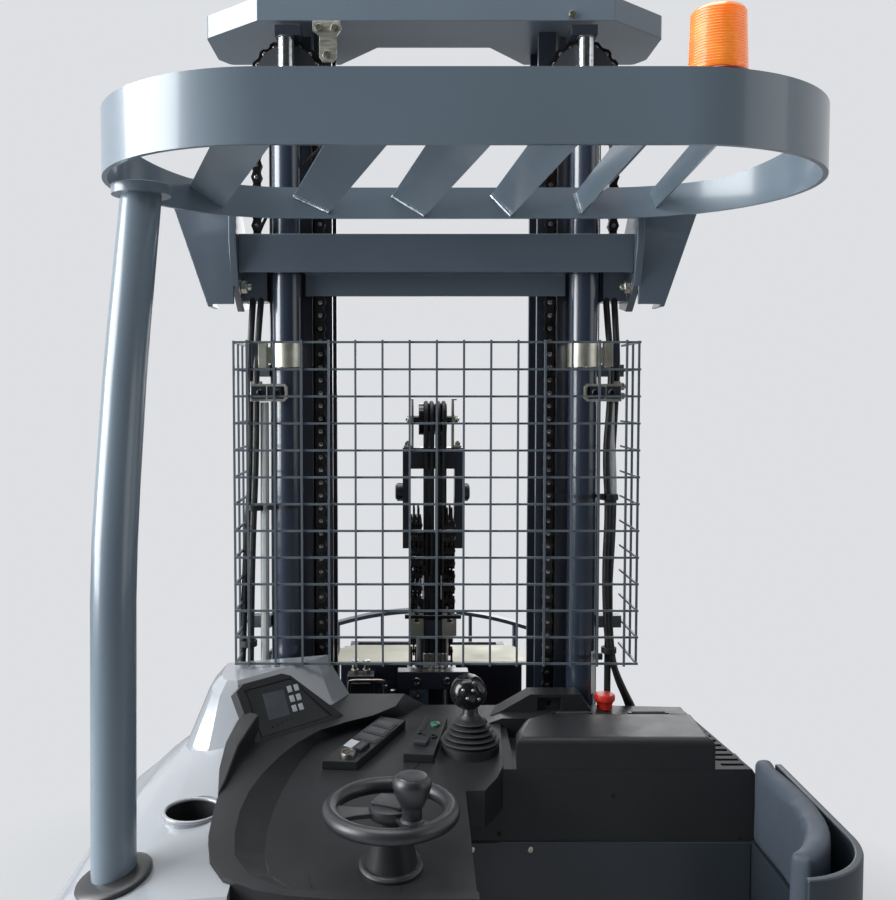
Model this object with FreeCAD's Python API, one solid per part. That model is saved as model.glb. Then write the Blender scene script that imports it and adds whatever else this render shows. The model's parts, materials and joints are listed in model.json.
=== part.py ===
import FreeCAD, Part
import os
from math import cos, pi, radians, sin, tan

# Stand-up pantograph reach truck: a chassis with straddle legs, a three-stage mast and scissor forks.
# X points to the operator's right as they face the forks, Y points to the forks and Z points up.
# The origin lies on the floor, midway along the length and the width. All sizes are in millimetres.

V = FreeCAD.Vector

# Clearances
SEAT_GAP = 0.3          # between fixed pieces of one body that are fastened together
PIN_GAP = 0.3           # radial gap of every turning fit
SLIDE_GAP = 6.0         # between telescoping pieces
ROLLER_GAP = 0.5        # between a roller and the flange it runs on

# Chassis
TRUCK_HALF_WIDTH = 590.0
BODY_LENGTH = 635.0
BODY_BOTTOM = 60.0
BODY_TOP = 1050.0
WALL = 8.0
REAR_CORNER_RADIUS = 130.0
PARTITION_X = 40.0
BATTERY_BAY_DEPTH = 215.0
BATTERY_TRAY_Z = 100.0
BATTERY_HEIGHT = 780.0
BATTERY_HALF_WIDTH = 480.0
PLATFORM_Z = 240.0
PLATFORM_PLATE = 12.0
STEP_SIDE_WIDTH = 50.0

# Straddle legs
LEG_WIDTH = 120.0
LEG_HEIGHT = 190.0
LEG_BOTTOM = 45.0
LEG_REACH = 1365.0
LOAD_WHEEL_SETBACK = 200.0
LOAD_WHEEL_DIAMETER = 210.0
LOAD_WHEEL_WIDTH = 85.0
LOAD_AXLE_RADIUS = 15.0

# Drive and caster
DRIVE_X = -290.0
DRIVE_FROM_REAR = 200.0
DRIVE_WHEEL_DIAMETER = 254.0
DRIVE_WHEEL_WIDTH = 100.0
DRIVE_AXLE_RADIUS = 30.0
DRIVE_PLATE_Z = 330.0
DRIVE_PLATE = 15.0
DRIVE_NECK_RADIUS = 80.0
MOTOR_RADIUS = 88.0
MOTOR_HEIGHT = 260.0
CASTER_X = 380.0
CASTER_FROM_REAR = 268.0
CASTER_WHEEL_DIAMETER = 150.0
CASTER_WHEEL_WIDTH = 60.0
CASTER_TRAIL = 40.0
CASTER_AXLE_RADIUS = 10.0
CASTER_PIN_RADIUS = 15.0
CASTER_PLATE_Z = 196.0

# Console
DECK_REAR_Z = 1128.0
DECK_FRONT_Z = 1213.0
RIM_RISE = 22.0
DECK_INNER_X = -300.0
SWITCH_PANEL_RISE = 15.0
WALL_TOP_Z = 1176.0
CUP_X = -394.0
CUP_FROM_REAR = 256.0
CUP_RADIUS = 42.0
CUP_COLLAR = 7.0
CUP_TOP_Z = 1168.0
CUP_DEPTH = 90.0
POD_DEPTH = 30.0
POD_PANEL_MARGIN = 13.0
POD_PANEL_DEPTH = 2.5
SKIRT_TOP_Z = 1118.0
VENT_COUNT = 11
VENT_PITCH = 17.0
LEVER_BASE_RIGHT_X = 125.0
LEVER_X = 57.0
LEVER_FROM_REAR = 467.0
LEVER_ROOT = 15.0
LID_WIDTH = 343.0
LID_DEPTH = 140.0
LID_LEFT_X = 133.0
LID_TOP_Z = 1229.0
LID_HINGE_RADIUS = 6.0
LID_HINGE_PIN = 2.5
BIN_DEPTH = 60.0
STEERING_WHEEL_RADIUS = 100.0
STEERING_RIM_RADIUS = 12.0
STEERING_X = -80.0
STEERING_FROM_REAR = 126.0
STEERING_Z = 1229.0
KNOB_OFFSET = 42.0
BOLSTER_TOP_Z = 1201.0

# Overhead guard
GUARD_TOP = 2251.0
GUARD_BAND = 100.0
GUARD_FAR_BAND = 57.0
GUARD_BAR = 8.0
GUARD_END_RADIUS = 280.0
GUARD_LEFT_X = -530.0
GUARD_RIGHT_X = 590.0
GUARD_FROM_REAR = 40.0
LOUVRE_THICKNESS = 6.0
PILLAR_RADIUS = 31.75
PILLAR_WALL = 4.0
PILLAR_FLANGE_RADIUS = 46.0
PILLAR_STATIONS = 15
PILLAR_X = -474.0

# Mast
MAST_HEIGHT = 2587.0
HEAD_PLATE = 46.0
MAST_HALF_WIDTH = 331.0
RAIL_WIDTH = 41.0
MIDDLE_RAIL_WIDTH = 39.0
INNER_RAIL_WIDTH = 35.0
RAIL_GAP = 5.0
MAST_DEPTH = 160.0
DEPTH_STEP = 10.0
RAIL_WEB = 12.0
RAIL_FLANGE = 14.0
MAST_FOOT_Z = 60.0
MAST_FOOT_PLATE = 25.0
OUTER_RAIL_TOP = 2395.0
CYLINDER_BAY = 80.0
LIFT_CYLINDER_X = 290.0
LIFT_CYLINDER_RADIUS = 28.5
LIFT_ROD_RADIUS = 16.0
LIFT_CYLINDER_SETBACK = 44.0
ROD_EAR = 20.0
MAIN_STROKE = 1750.0
SHEAVE_X = 290.0
SHEAVE_Z = 2442.0
SHEAVE_RADIUS = 50.0
SHEAVE_FLANGE_RADIUS = 62.0
SHEAVE_WIDTH = 24.0
CHAIN_WIDTH = 24.0
CHAIN_THICKNESS = 16.0

# Free lift
FREE_STROKE = 650.0
FREE_CYLINDER_RADIUS = 35.0
FREE_ROD_RADIUS = 22.0
FREE_CYLINDER_TOP = 1380.0
CROSSHEAD_BOTTOM = 1430.0
CROSSHEAD_TOP = 1706.0
CROSSHEAD_WIDTH = 129.0
PULLEY_UNIT_TOP = 1812.0
PULLEY_UNIT_WIDTH = 87.0
FREE_CHAIN_X = 35.0
HOSE_DRUM_RADIUS = 34.0

# Reach mechanism
CARRIAGE_HALF_WIDTH = 205.0
CARRIAGE_SIDE = 20.0
CARRIAGE_TOP = 1211.0
CARRIAGE_BOTTOM = 130.0
CARRIAGE_DEPTH = 135.0
CARRIAGE_FROM_MAST = 55.0
ARM_LENGTH = 950.0
ARM_WIDTH = 80.0
ARM_THICKNESS = 20.0
ARM_FOLDED_DEG = 16.0
ARM_PIVOT_Z = 1120.0
OUTER_ARM_X = 150.0
INNER_ARM_X = 115.0
ARM_PIN_RADIUS = 14.0
ARM_ROLLER_RADIUS = 25.0
GUIDE_RIB = 12.0

# Fork carriage and forks
TILT_PIN_Z = 560.0
TILT_PIN_RADIUS = 14.0
FORK_BAR_LOW_Z = 101.0
FORK_BAR_HIGH_Z = 508.0
FORK_BAR_HEIGHT = 60.0
FORK_BAR_THICKNESS = 35.0
FORK_BAR_HALF_WIDTH = 440.0
FORK_LENGTH = 1070.0
FORK_WIDTH = 100.0
FORK_THICKNESS = 40.0
FORK_TIP_THICKNESS = 10.0
FORK_BOTTOM_Z = 25.0
FORK_CENTRE_X = 262.0
BACKREST_TOP_Z = 1220.0
BACKREST_HALF_WIDTH = 440.0
BACKREST_FOOT_Z = 568.0
BACKREST_DROP = 120.0
BACKREST_BAR = 8.0
BACKREST_PITCH = 123.0
BACKREST_BAR_DEPTH = 30.0

# Mesh guard
WIRE = 4.0
MESH_PITCH = 50.8
MESH_COLUMNS = 14
MESH_EDGE = 25.4
MESH_ROWS = 12
MESH_WING_COLUMNS = 3
MESH_BOTTOM_Z = 1310.0
MESH_SETBACK = 135.0

# Stack-up along Y, from the rear of the body to the tips of the forks
FOLDED_REACH = ARM_LENGTH * sin(radians(ARM_FOLDED_DEG))
FOLDED_DROP = ARM_LENGTH * cos(radians(ARM_FOLDED_DEG))
PIVOT_FROM_CARRIAGE_FRONT = 20.0
TILT_FROM_PIVOT = 93.0
FORK_BAR_FROM_TILT = 30.0
BODY_TO_PIVOT = CYLINDER_BAY + MAST_DEPTH + CARRIAGE_FROM_MAST + CARRIAGE_DEPTH - PIVOT_FROM_CARRIAGE_FRONT
PIVOT_TO_TIP = (FOLDED_REACH + TILT_FROM_PIVOT + FORK_BAR_FROM_TILT + FORK_BAR_THICKNESS
                + FORK_THICKNESS + FORK_LENGTH)
OVERALL_LENGTH = BODY_LENGTH + BODY_TO_PIVOT + PIVOT_TO_TIP
REAR_Y = -OVERALL_LENGTH / 2
BODY_FRONT_Y = REAR_Y + BODY_LENGTH
MAST_REAR_Y = BODY_FRONT_Y + CYLINDER_BAY
MAST_FRONT_Y = MAST_REAR_Y + MAST_DEPTH
MAST_CENTRE_Y = (MAST_REAR_Y + MAST_FRONT_Y) / 2
LIFT_CYLINDER_Y = MAST_REAR_Y - LIFT_CYLINDER_SETBACK
CHAIN_Y = MAST_REAR_Y - 15.0
FREE_CYLINDER_Y = MAST_FRONT_Y - 15.0
CARRIAGE_REAR_Y = MAST_FRONT_Y + CARRIAGE_FROM_MAST
CARRIAGE_FRONT_Y = CARRIAGE_REAR_Y + CARRIAGE_DEPTH
PIVOT_Y = CARRIAGE_FRONT_Y - PIVOT_FROM_CARRIAGE_FRONT
FORK_PIVOT_Y = PIVOT_Y + FOLDED_REACH
TILT_PIN_Y = FORK_PIVOT_Y + TILT_FROM_PIVOT
FORK_BAR_Y = TILT_PIN_Y + FORK_BAR_FROM_TILT
FORK_SHANK_Y = FORK_BAR_Y + FORK_BAR_THICKNESS
BAY_REAR_Y = BODY_FRONT_Y - WALL - BATTERY_BAY_DEPTH - WALL
LEG_TIP_Y = BODY_FRONT_Y + LEG_REACH
LOAD_WHEEL_Y = LEG_TIP_Y - LOAD_WHEEL_SETBACK
LEG_CENTRE_X = TRUCK_HALF_WIDTH - LEG_WIDTH / 2
DRIVE_Y = REAR_Y + DRIVE_FROM_REAR
CASTER_Y = REAR_Y + CASTER_FROM_REAR
STEERING_Y = REAR_Y + STEERING_FROM_REAR
GUARD_REAR_Y = REAR_Y + GUARD_FROM_REAR
GUARD_CENTRE_Y = GUARD_REAR_Y + GUARD_END_RADIUS
GUARD_FRONT_Y = GUARD_REAR_Y + 2 * GUARD_END_RADIUS
MESH_Y = MAST_REAR_Y - MESH_SETBACK
HEAD_BOTTOM_Z = MAST_HEIGHT - HEAD_PLATE
RIGHT_WALL_X = TRUCK_HALF_WIDTH - STEP_SIDE_WIDTH
DECK_SLOPE = (DECK_FRONT_Z - DECK_REAR_Z) / BODY_LENGTH

# Rail positions across the mast
MIDDLE_OUT_X = MAST_HALF_WIDTH - RAIL_WIDTH - RAIL_GAP
MIDDLE_IN_X = MIDDLE_OUT_X - MIDDLE_RAIL_WIDTH
INNER_OUT_X = MIDDLE_IN_X - RAIL_GAP
INNER_IN_X = INNER_OUT_X - INNER_RAIL_WIDTH


def block(x, y, z):
    """Box between the low and high ends given for each axis."""
    return Part.makeBox(x[1] - x[0], y[1] - y[0], z[1] - z[0], V(x[0], y[0], z[0]))


def rod(start, end, radius):
    """Round bar between two points."""
    start = V(*start)
    direction = V(*end) - start
    return Part.makeCylinder(radius, direction.Length, start, direction)


def tube(start, end, outer, inner):
    """Round tube between two points."""
    return rod(start, end, outer).cut(rod(start, end, inner))


def polygon(points):
    """Flat face on a closed outline of 3-D points."""
    vectors = [V(*point) for point in points]
    return Part.Face(Part.makePolygon(vectors + vectors[:1]))


def side_plate(outline, x):
    """Plate with an outline of (y, z) points between two X positions."""
    return polygon([(x[0], y, z) for y, z in outline]).extrude(V(x[1] - x[0], 0, 0))


def flat_plate(outline, z):
    """Plate with an outline of (x, y) points between two heights."""
    return polygon([(x, y, z[0]) for x, y in outline]).extrude(V(0, 0, z[1] - z[0]))


def mirrored(shape):
    """The same shape on the other side of the truck."""
    return shape.mirror(V(0, 0, 0), V(1, 0, 0))


def pair(shape):
    """The shape and its mirror image, as separate solids."""
    return Part.makeCompound([shape, mirrored(shape)])


def fuse(*shapes):
    """One solid from pieces that are welded together."""
    return shapes[0].fuse(list(shapes[1:])).removeSplitter()


def upright_edges(shape, x=None, y=None):
    """Vertical edges of a shape, chosen by their place."""
    found = []
    for edge in shape.Edges:
        box = edge.BoundBox
        if box.ZLength < 1 or box.XLength > 0.01 or box.YLength > 0.01:
            continue
        if x is not None and abs(box.XMin - x) > 0.01:
            continue
        if y is not None and abs(box.YMin - y) > 0.01:
            continue
        found.append(edge)
    return found


def slot_outline(x, y, radius, z):
    """Face of a racetrack shape: straight sides along X with round ends."""
    left = x[0] + radius
    right = x[1] - radius
    middle = (y[0] + y[1]) / 2
    edges = [
        Part.makeLine(V(left, y[0], z), V(right, y[0], z)),
        Part.Arc(V(right, y[0], z), V(right + radius, middle, z), V(right, y[1], z)).toShape(),
        Part.makeLine(V(right, y[1], z), V(left, y[1], z)),
        Part.Arc(V(left, y[1], z), V(left - radius, middle, z), V(left, y[0], z)).toShape(),
    ]
    return Part.Face(Part.Wire(edges))


def rounded_path(points, radii):
    """Wire of straight runs joined by tangent arcs of the given radii."""
    points = [V(*point) for point in points]
    edges = []
    start = points[0]
    for before, corner, after, radius in zip(points, points[1:], points[2:], radii):
        incoming = (corner - before).normalize()
        outgoing = (after - corner).normalize()
        half_turn = incoming.getAngle(outgoing) / 2
        trim = radius * tan(half_turn)
        arc_start = corner - incoming * trim
        arc_end = corner + outgoing * trim
        bulge = (outgoing - incoming).normalize()
        arc_middle = corner + bulge * (radius / cos(half_turn) - radius)
        edges.append(Part.makeLine(start, arc_start))
        edges.append(Part.Arc(arc_start, arc_middle, arc_end).toShape())
        start = arc_end
    edges.append(Part.makeLine(start, points[-1]))
    return Part.Wire(edges)


def wheel(centre, radius, width, bore, rim_radius):
    """Wheel on an X axle: a rounded tread and a dished hub with a bore."""
    half = width / 2
    edge = radius * 0.07
    dish = width * 0.12
    outline = [
        (half, bore),
        (half, bore + 12),
        (half - dish, bore + 16),
        (half - dish, rim_radius - 6),
        (half, rim_radius),
        (half, radius - edge),
        (half - edge, radius),
    ]
    section = [(x, r) for x, r in outline] + [(-x, r) for x, r in reversed(outline)]
    face = polygon([(x, 0, r) for x, r in section])
    solid = face.revolve(V(0, 0, 0), V(1, 0, 0), 360)
    solid.translate(V(*centre))
    return solid


# ---------------------------------------------------------------- chassis

def chassis_frame():
    """Welded body: outer skin, partitions, wheel plates and mast foot."""
    x = (-TRUCK_HALF_WIDTH, TRUCK_HALF_WIDTH)
    y = (REAR_Y, BODY_FRONT_Y)
    skin = block(x, y, (BODY_BOTTOM, BODY_TOP))
    skin = skin.makeFillet(REAR_CORNER_RADIUS, upright_edges(skin, y=REAR_Y))
    skin = skin.cut(body_interior(0))
    inside_x = (x[0] + WALL, x[1] - WALL)
    bulkhead = block(inside_x, (BAY_REAR_Y, BAY_REAR_Y + WALL), (BATTERY_TRAY_Z, BODY_TOP))
    tray = block(inside_x, (BAY_REAR_Y, BODY_FRONT_Y - WALL), (BATTERY_TRAY_Z - WALL, BATTERY_TRAY_Z))
    partition = block(
        (PARTITION_X - WALL, PARTITION_X), (REAR_Y + WALL, BAY_REAR_Y), (BODY_BOTTOM, BODY_TOP)
    )
    side = block((RIGHT_WALL_X, RIGHT_WALL_X + WALL), (REAR_Y + WALL, BAY_REAR_Y), (BODY_BOTTOM, BODY_TOP))
    drive_plate = block(
        (inside_x[0], PARTITION_X - WALL), (REAR_Y + WALL, BAY_REAR_Y), (
            DRIVE_PLATE_Z, DRIVE_PLATE_Z + DRIVE_PLATE
        )
    )
    caster_plate = block(
        (PARTITION_X, RIGHT_WALL_X), (REAR_Y + WALL, BAY_REAR_Y), (CASTER_PLATE_Z, CASTER_PLATE_Z + WALL)
    )
    plates = fuse(bulkhead, tray, partition, side, drive_plate, caster_plate)
    envelope = block(x, y, (BODY_BOTTOM, BODY_TOP))
    envelope = envelope.makeFillet(REAR_CORNER_RADIUS, upright_edges(envelope, y=REAR_Y))
    frame = fuse(skin, plates.common(envelope))
    doorway = block(
        (PARTITION_X, RIGHT_WALL_X), (REAR_Y - 1, REAR_Y + REAR_CORNER_RADIUS), (PLATFORM_Z, BODY_TOP + 1)
    )
    frame = frame.cut(doorway)
    neck = rod((DRIVE_X, DRIVE_Y, DRIVE_PLATE_Z - 1), (DRIVE_X, DRIVE_Y, DRIVE_PLATE_Z + DRIVE_PLATE + 1),
               DRIVE_NECK_RADIUS)
    pin = rod((CASTER_X, CASTER_Y, CASTER_PLATE_Z - 1), (CASTER_X, CASTER_Y, CASTER_PLATE_Z + WALL + 1),
              CASTER_PIN_RADIUS + PIN_GAP)
    frame = frame.cut(neck).cut(pin)
    return frame


def mast_foot():
    """Foot plate of the mast between the legs, with its two gussets."""
    foot_x = TRUCK_HALF_WIDTH - LEG_WIDTH
    rear = BODY_FRONT_Y + SEAT_GAP
    top = MAST_FOOT_Z + MAST_FOOT_PLATE
    foot = block((-foot_x, foot_x), (rear, MAST_FRONT_Y), (MAST_FOOT_Z, top))
    gusset = side_plate(
        [(rear, top), (MAST_FRONT_Y, top), (MAST_FRONT_Y, top + 60), (rear, top + 420)],
        (MAST_HALF_WIDTH + SEAT_GAP, MAST_HALF_WIDTH + SEAT_GAP + WALL),
    )
    return fuse(foot, gusset, mirrored(gusset))


def battery():
    """Battery block in its bay, standing on the tray."""
    y = (BAY_REAR_Y + WALL + 5, BODY_FRONT_Y - WALL - 5)
    case = block(
        (-BATTERY_HALF_WIDTH, BATTERY_HALF_WIDTH), y, (BATTERY_TRAY_Z, BATTERY_TRAY_Z + BATTERY_HEIGHT)
    )
    return case.makeChamfer(6, case.Edges)


def outrigger():
    """Right straddle leg with its wheel slot and axle."""
    low = LEG_BOTTOM
    high = LEG_BOTTOM + LEG_HEIGHT
    leg = side_plate(
        [
            (BODY_FRONT_Y, low),
            (LEG_TIP_Y - 60, low),
            (LEG_TIP_Y, low + 60),
            (LEG_TIP_Y, high - 90),
            (LEG_TIP_Y - 90, high),
            (BODY_FRONT_Y, high),
        ],
        (TRUCK_HALF_WIDTH - LEG_WIDTH, TRUCK_HALF_WIDTH),
    )
    wheel_radius = LOAD_WHEEL_DIAMETER / 2
    slot_half = LOAD_WHEEL_WIDTH / 2 + 3
    slot = block(
        (LEG_CENTRE_X - slot_half, LEG_CENTRE_X + slot_half),
        (LOAD_WHEEL_Y - wheel_radius - 12, LOAD_WHEEL_Y + wheel_radius + 12),
        (low - 1, wheel_radius * 2 + 12),
    )
    axle_x = (TRUCK_HALF_WIDTH - LEG_WIDTH + 4, TRUCK_HALF_WIDTH - 4)
    axle = rod(
        (axle_x[0], LOAD_WHEEL_Y, wheel_radius), (axle_x[1], LOAD_WHEEL_Y, wheel_radius), LOAD_AXLE_RADIUS
    )
    return fuse(leg.cut(slot), axle)


def load_wheel():
    """Right load wheel."""
    radius = LOAD_WHEEL_DIAMETER / 2
    return wheel(
        (LEG_CENTRE_X, LOAD_WHEEL_Y, radius),
        radius,
        LOAD_WHEEL_WIDTH,
        LOAD_AXLE_RADIUS + PIN_GAP,
        radius - 22,
    )


def body_interior(gap):
    """Space inside the outer skin, with a gap all round."""
    inset = WALL + gap
    x = (-TRUCK_HALF_WIDTH + inset, TRUCK_HALF_WIDTH - inset)
    y = (REAR_Y + inset, BODY_FRONT_Y - inset)
    space = block(x, y, (BODY_BOTTOM - 1, BODY_TOP + 1))
    return space.makeFillet(REAR_CORNER_RADIUS - inset, upright_edges(space, y=y[0]))


def platform_floor():
    """Floor plate that the operator stands on, with a well over the caster's pin."""
    floor = block(
        (PARTITION_X + SEAT_GAP, RIGHT_WALL_X - SEAT_GAP),
        (REAR_Y, BAY_REAR_Y - SEAT_GAP),
        (CASTER_PLATE_Z + WALL + SEAT_GAP, PLATFORM_Z),
    )
    well = rod((CASTER_X, CASTER_Y, CASTER_PLATE_Z), (CASTER_X, CASTER_Y, PLATFORM_Z - PLATFORM_PLATE), 40)
    return floor.common(body_interior(SEAT_GAP)).cut(well)


def deck_height(y):
    """Height of the sloping console deck at a place along the truck."""
    return DECK_REAR_Z + DECK_SLOPE * (y - REAR_Y)


def below_deck(clearance):
    """Everything under the sloping deck surface, raised by a clearance."""
    outline = [
        (REAR_Y, 900),
        (BODY_FRONT_Y + 100, 900),
        (BODY_FRONT_Y + 100, deck_height(BODY_FRONT_Y + 100) + clearance),
        (REAR_Y, deck_height(REAR_Y) + clearance),
    ]
    return side_plate(outline, (-TRUCK_HALF_WIDTH, TRUCK_HALF_WIDTH))


# Centre line of the guard's pillar
PILLAR_POINTS = (
    (PILLAR_X, REAR_Y + 102, BODY_TOP + 2),
    (PILLAR_X, REAR_Y + 124, 1590),
    (PILLAR_X, REAR_Y + 200, 1870),
    (PILLAR_X, REAR_Y + 300, GUARD_TOP - GUARD_BAND - 8),
)

# Number of short edges along a curved outline of the deck
PLAN_STEPS = 14
CROWN_STEPS = 7

# Plan outlines of the deck, as (x, distance from the rear of the body)
RIM_OUTER = (
    (-372, 636),
    (-352, 470),
    (-365, 365),
    (-358, 284),
    (-344, 129),
    (-306, 60),
    (-242, 31),
    (-160, 18),
)
RIM_INNER = (
    (-60, 636),
    (-98, 560),
    (-205, 495),
    (-268, 408),
    (-309, 287),
    (-312, 160),
    (-290, 85),
    (-240, 46),
    (-170, 34),
)
TRAY_FLOOR = (
    (-20, 636),
    (-60, 592),
    (-179, 533),
    (-241, 418),
    (-268, 271),
    (-266, 150),
    (-247, 97),
    (-212, 68),
    (-160, 56),
)

# Instrument display: lower left, lower right and upper left corner of its face
POD_CORNERS = ((-321, 437, 1208), (-172, 543, 1222), (-362, 482, 1309))

# Outline of the display's face and of its sunk panel, along and up the face from the lower left corner
POD_FACE = ((0, -30), (184, -30), (184, 0), (104, 100), (88, 108), (10, 108), (-8, 98))
POD_PANEL = ((0, -6), (172, -6), (106, 108), (2, 108))
POD_PANEL_SLANT = 0.4

# Control lever: (radius, height) stations of its bellows and of its grip
BELLOWS_STEPS = ((53, 0), (53, 10), (44, 12), (46, 24), (36, 27), (38, 38), (22, 46), (12, 60), (12, 82))
GRIP_STEPS = ((23, 87), (31, 96), (33, 108), (31, 120), (23, 130), (12, 134), (0, 135))

# Louvres of the guard: place of each far end across the truck, tilt in degrees and width
LOUVRES = ((-470, 24, 72), (-266, 24, 74), (-81, 31, 72), (105, 45, 54), (263, 72, 39), (401, 70, 31))
LOUVRE_FAN_X = 230.0
LOUVRE_FAN_DISTANCE = 2142.0

# Plan of the two switch plates on the floor of the tray
SWITCH_PANELS = (
    ((-202, 392), (-142, 388), (-58, 540), (-106, 556)),
    ((-63, 416), (-10, 412), (20, 552), (-18, 566)),
)

# Crown of the left cover at places along the truck: heights from the deck out to the truck's side
COVER_CROWN = (
    (4, (1118, 1114, 1104, 1082, 1058)),
    (34, (1148, 1140, 1126, 1098, 1064)),
    (120, (1160, 1152, 1137, 1106, 1068)),
    (260, (1178, 1166, 1148, 1112, 1070)),
    (430, (1200, 1180, 1156, 1114, 1072)),
    (635, (1226, 1190, 1156, 1100, 1070)),
)

# Plan of the side rest, both faces from its front end to the end of the wing, as (distance in
# from the right side, distance from the rear)
BOLSTER_OUTER = ((17, 403), (16, 210), (32, 130), (58, 80), (100, 36), (128, 18))
BOLSTER_INNER = ((52, 403), (53, 300), (59, 180), (76, 126), (104, 84), (152, 44))
SKIRT = 12.0
SHELL_TOP_Z = 1186.0


def plan_curve(points, height, steps=PLAN_STEPS):
    """Run of short edges along a smooth curve through (x, distance from the rear) points."""
    curve = Part.BSplineCurve()
    curve.interpolate([V(x, REAR_Y + y, height(REAR_Y + y)) for x, y in points])
    places = curve.discretize(steps + 1)
    return [Part.makeLine(a, b) for a, b in zip(places, places[1:])]


def plan_wire(curve_points, corners, height):
    """Closed outline: a smooth curve, then straight runs through the corners and back to its start."""
    loop = [curve_points[-1]] + list(corners) + [curve_points[0]]
    vectors = [V(x, REAR_Y + y, height(REAR_Y + y)) for x, y in loop]
    runs = [Part.makeLine(a, b) for a, b in zip(vectors, vectors[1:])]
    return Part.Wire(plan_curve(curve_points, height) + runs)


def deck_zone(gap):
    """Everything over the plan of the moulded deck's left part, grown by a gap."""
    grown = [(x - gap, y - gap) for x, y in RIM_OUTER]
    corners = [(PARTITION_X, grown[-1][1]), (PARTITION_X, grown[0][1])]
    return Part.Face(plan_wire(grown, corners, lambda y: BODY_TOP)).extrude(V(0, 0, 400))


def rim_height(y):
    """Height of the raised rim of the deck at a place along the truck."""
    return deck_height(y) + RIM_RISE


def deck_tray():
    """Hollow of the deck: a sloping floor with a flared wall up to the rim."""
    corners = [(PARTITION_X + 1, RIM_INNER[-1][1]), (PARTITION_X + 1, RIM_INNER[0][1])]
    floor_corners = [(PARTITION_X + 1, TRAY_FLOOR[-1][1]), (PARTITION_X + 1, TRAY_FLOOR[0][1])]
    mouth = plan_wire(RIM_INNER, corners, rim_height)
    floor = plan_wire(TRAY_FLOOR, floor_corners, deck_height)
    return Part.makeLoft([floor, mouth], True, True).fuse(Part.Face(mouth).extrude(V(0, 0, 60)))


def right_deck_section(y, crest_x):
    """Outline across the storage side of the deck at a place along the truck."""
    top = WALL_TOP_Z + DECK_SLOPE * (y - BAY_REAR_Y)
    low = BODY_TOP + SEAT_GAP
    right = TRUCK_HALF_WIDTH - SKIRT - SEAT_GAP
    points = [(PARTITION_X, low), (right, low), (right, SKIRT_TOP_Z), (crest_x, top), (PARTITION_X, top)]
    vectors = [V(x, y, z) for x, z in points]
    return Part.makePolygon(vectors + vectors[:1])


def storage_surround():
    """Storage side of the deck: sloping shell, seat of the lid, bin, rear hump and vents."""
    shell = Part.makeLoft(
        [right_deck_section(BAY_REAR_Y, 540), right_deck_section(BODY_FRONT_Y, 481)], True, True
    )
    hump = [(60, 1190), (123, 1215), (180, 1248), (277, 1248), (300, 1213), (481, 1209), (481, 1190)]
    low_hump = [(x, min(z, 1213)) for x, z in hump]
    wall = polygon([(x, BODY_FRONT_Y - 45, z) for x, z in hump]).extrude(V(0, 45, 0))
    step = polygon([(x, BODY_FRONT_Y - 78, z) for x, z in low_hump]).extrude(V(0, 78, 0))
    pocket = block((194, 240), (BODY_FRONT_Y - 46, BODY_FRONT_Y - 36), (1216, 1242))
    socket = rod((217, BODY_FRONT_Y - 40, 1229), (217, BODY_FRONT_Y - 28, 1229), 6)
    lid_right = LID_LEFT_X + LID_WIDTH
    seat = block(
        (LID_LEFT_X - 2, lid_right + 2), (BAY_REAR_Y - 1, BAY_REAR_Y + LID_DEPTH + 13), (WALL_TOP_Z, 1300)
    )
    bin_y = (BAY_REAR_Y + 15, BAY_REAR_Y + LID_DEPTH - 15)
    storage = block((LID_LEFT_X + 15, lid_right - 15), bin_y, (WALL_TOP_Z - BIN_DEPTH, WALL_TOP_Z + 1))
    surround = fuse(shell, wall.cut(pocket).cut(socket), step).cut(seat).cut(storage)
    for index in range(VENT_COUNT):
        y = BAY_REAR_Y + 12 + index * VENT_PITCH
        crest = 540 - (y - BAY_REAR_Y) * 59 / (BODY_FRONT_Y - BAY_REAR_Y)
        top = WALL_TOP_Z + DECK_SLOPE * (y - BAY_REAR_Y)
        slot = block((crest - 46, crest - 6), (y, y + 7), (top - 8, top + 20))
        surround = surround.cut(slot)
    return surround


def console_deck():
    """Black moulded deck: a tray with a raised rim on the left and a sloping storage part on the right."""
    rim = deck_zone(0).common(below_deck(RIM_RISE))
    left = rim.cut(deck_tray())
    lever_rear = REAR_Y + 325
    lever_plan = [
        (PARTITION_X, lever_rear),
        (72, lever_rear),
        (96, lever_rear + 40),
        (110, BAY_REAR_Y),
        (LEVER_BASE_RIGHT_X, BODY_FRONT_Y),
        (PARTITION_X, BODY_FRONT_Y),
    ]
    lever_base = flat_plate(lever_plan, (BODY_TOP + SEAT_GAP + 60, DECK_FRONT_Z + 20)).common(below_deck(0))
    deck = fuse(left, storage_surround(), lever_base, lid_hinge_pins())
    return deck.cut(pod_body(SEAT_GAP))


def lid_hinge_line():
    """Place of the lid's hinge line along the truck and its height."""
    return BAY_REAR_Y + LID_DEPTH + LID_HINGE_RADIUS, LID_TOP_Z - LID_HINGE_RADIUS


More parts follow.
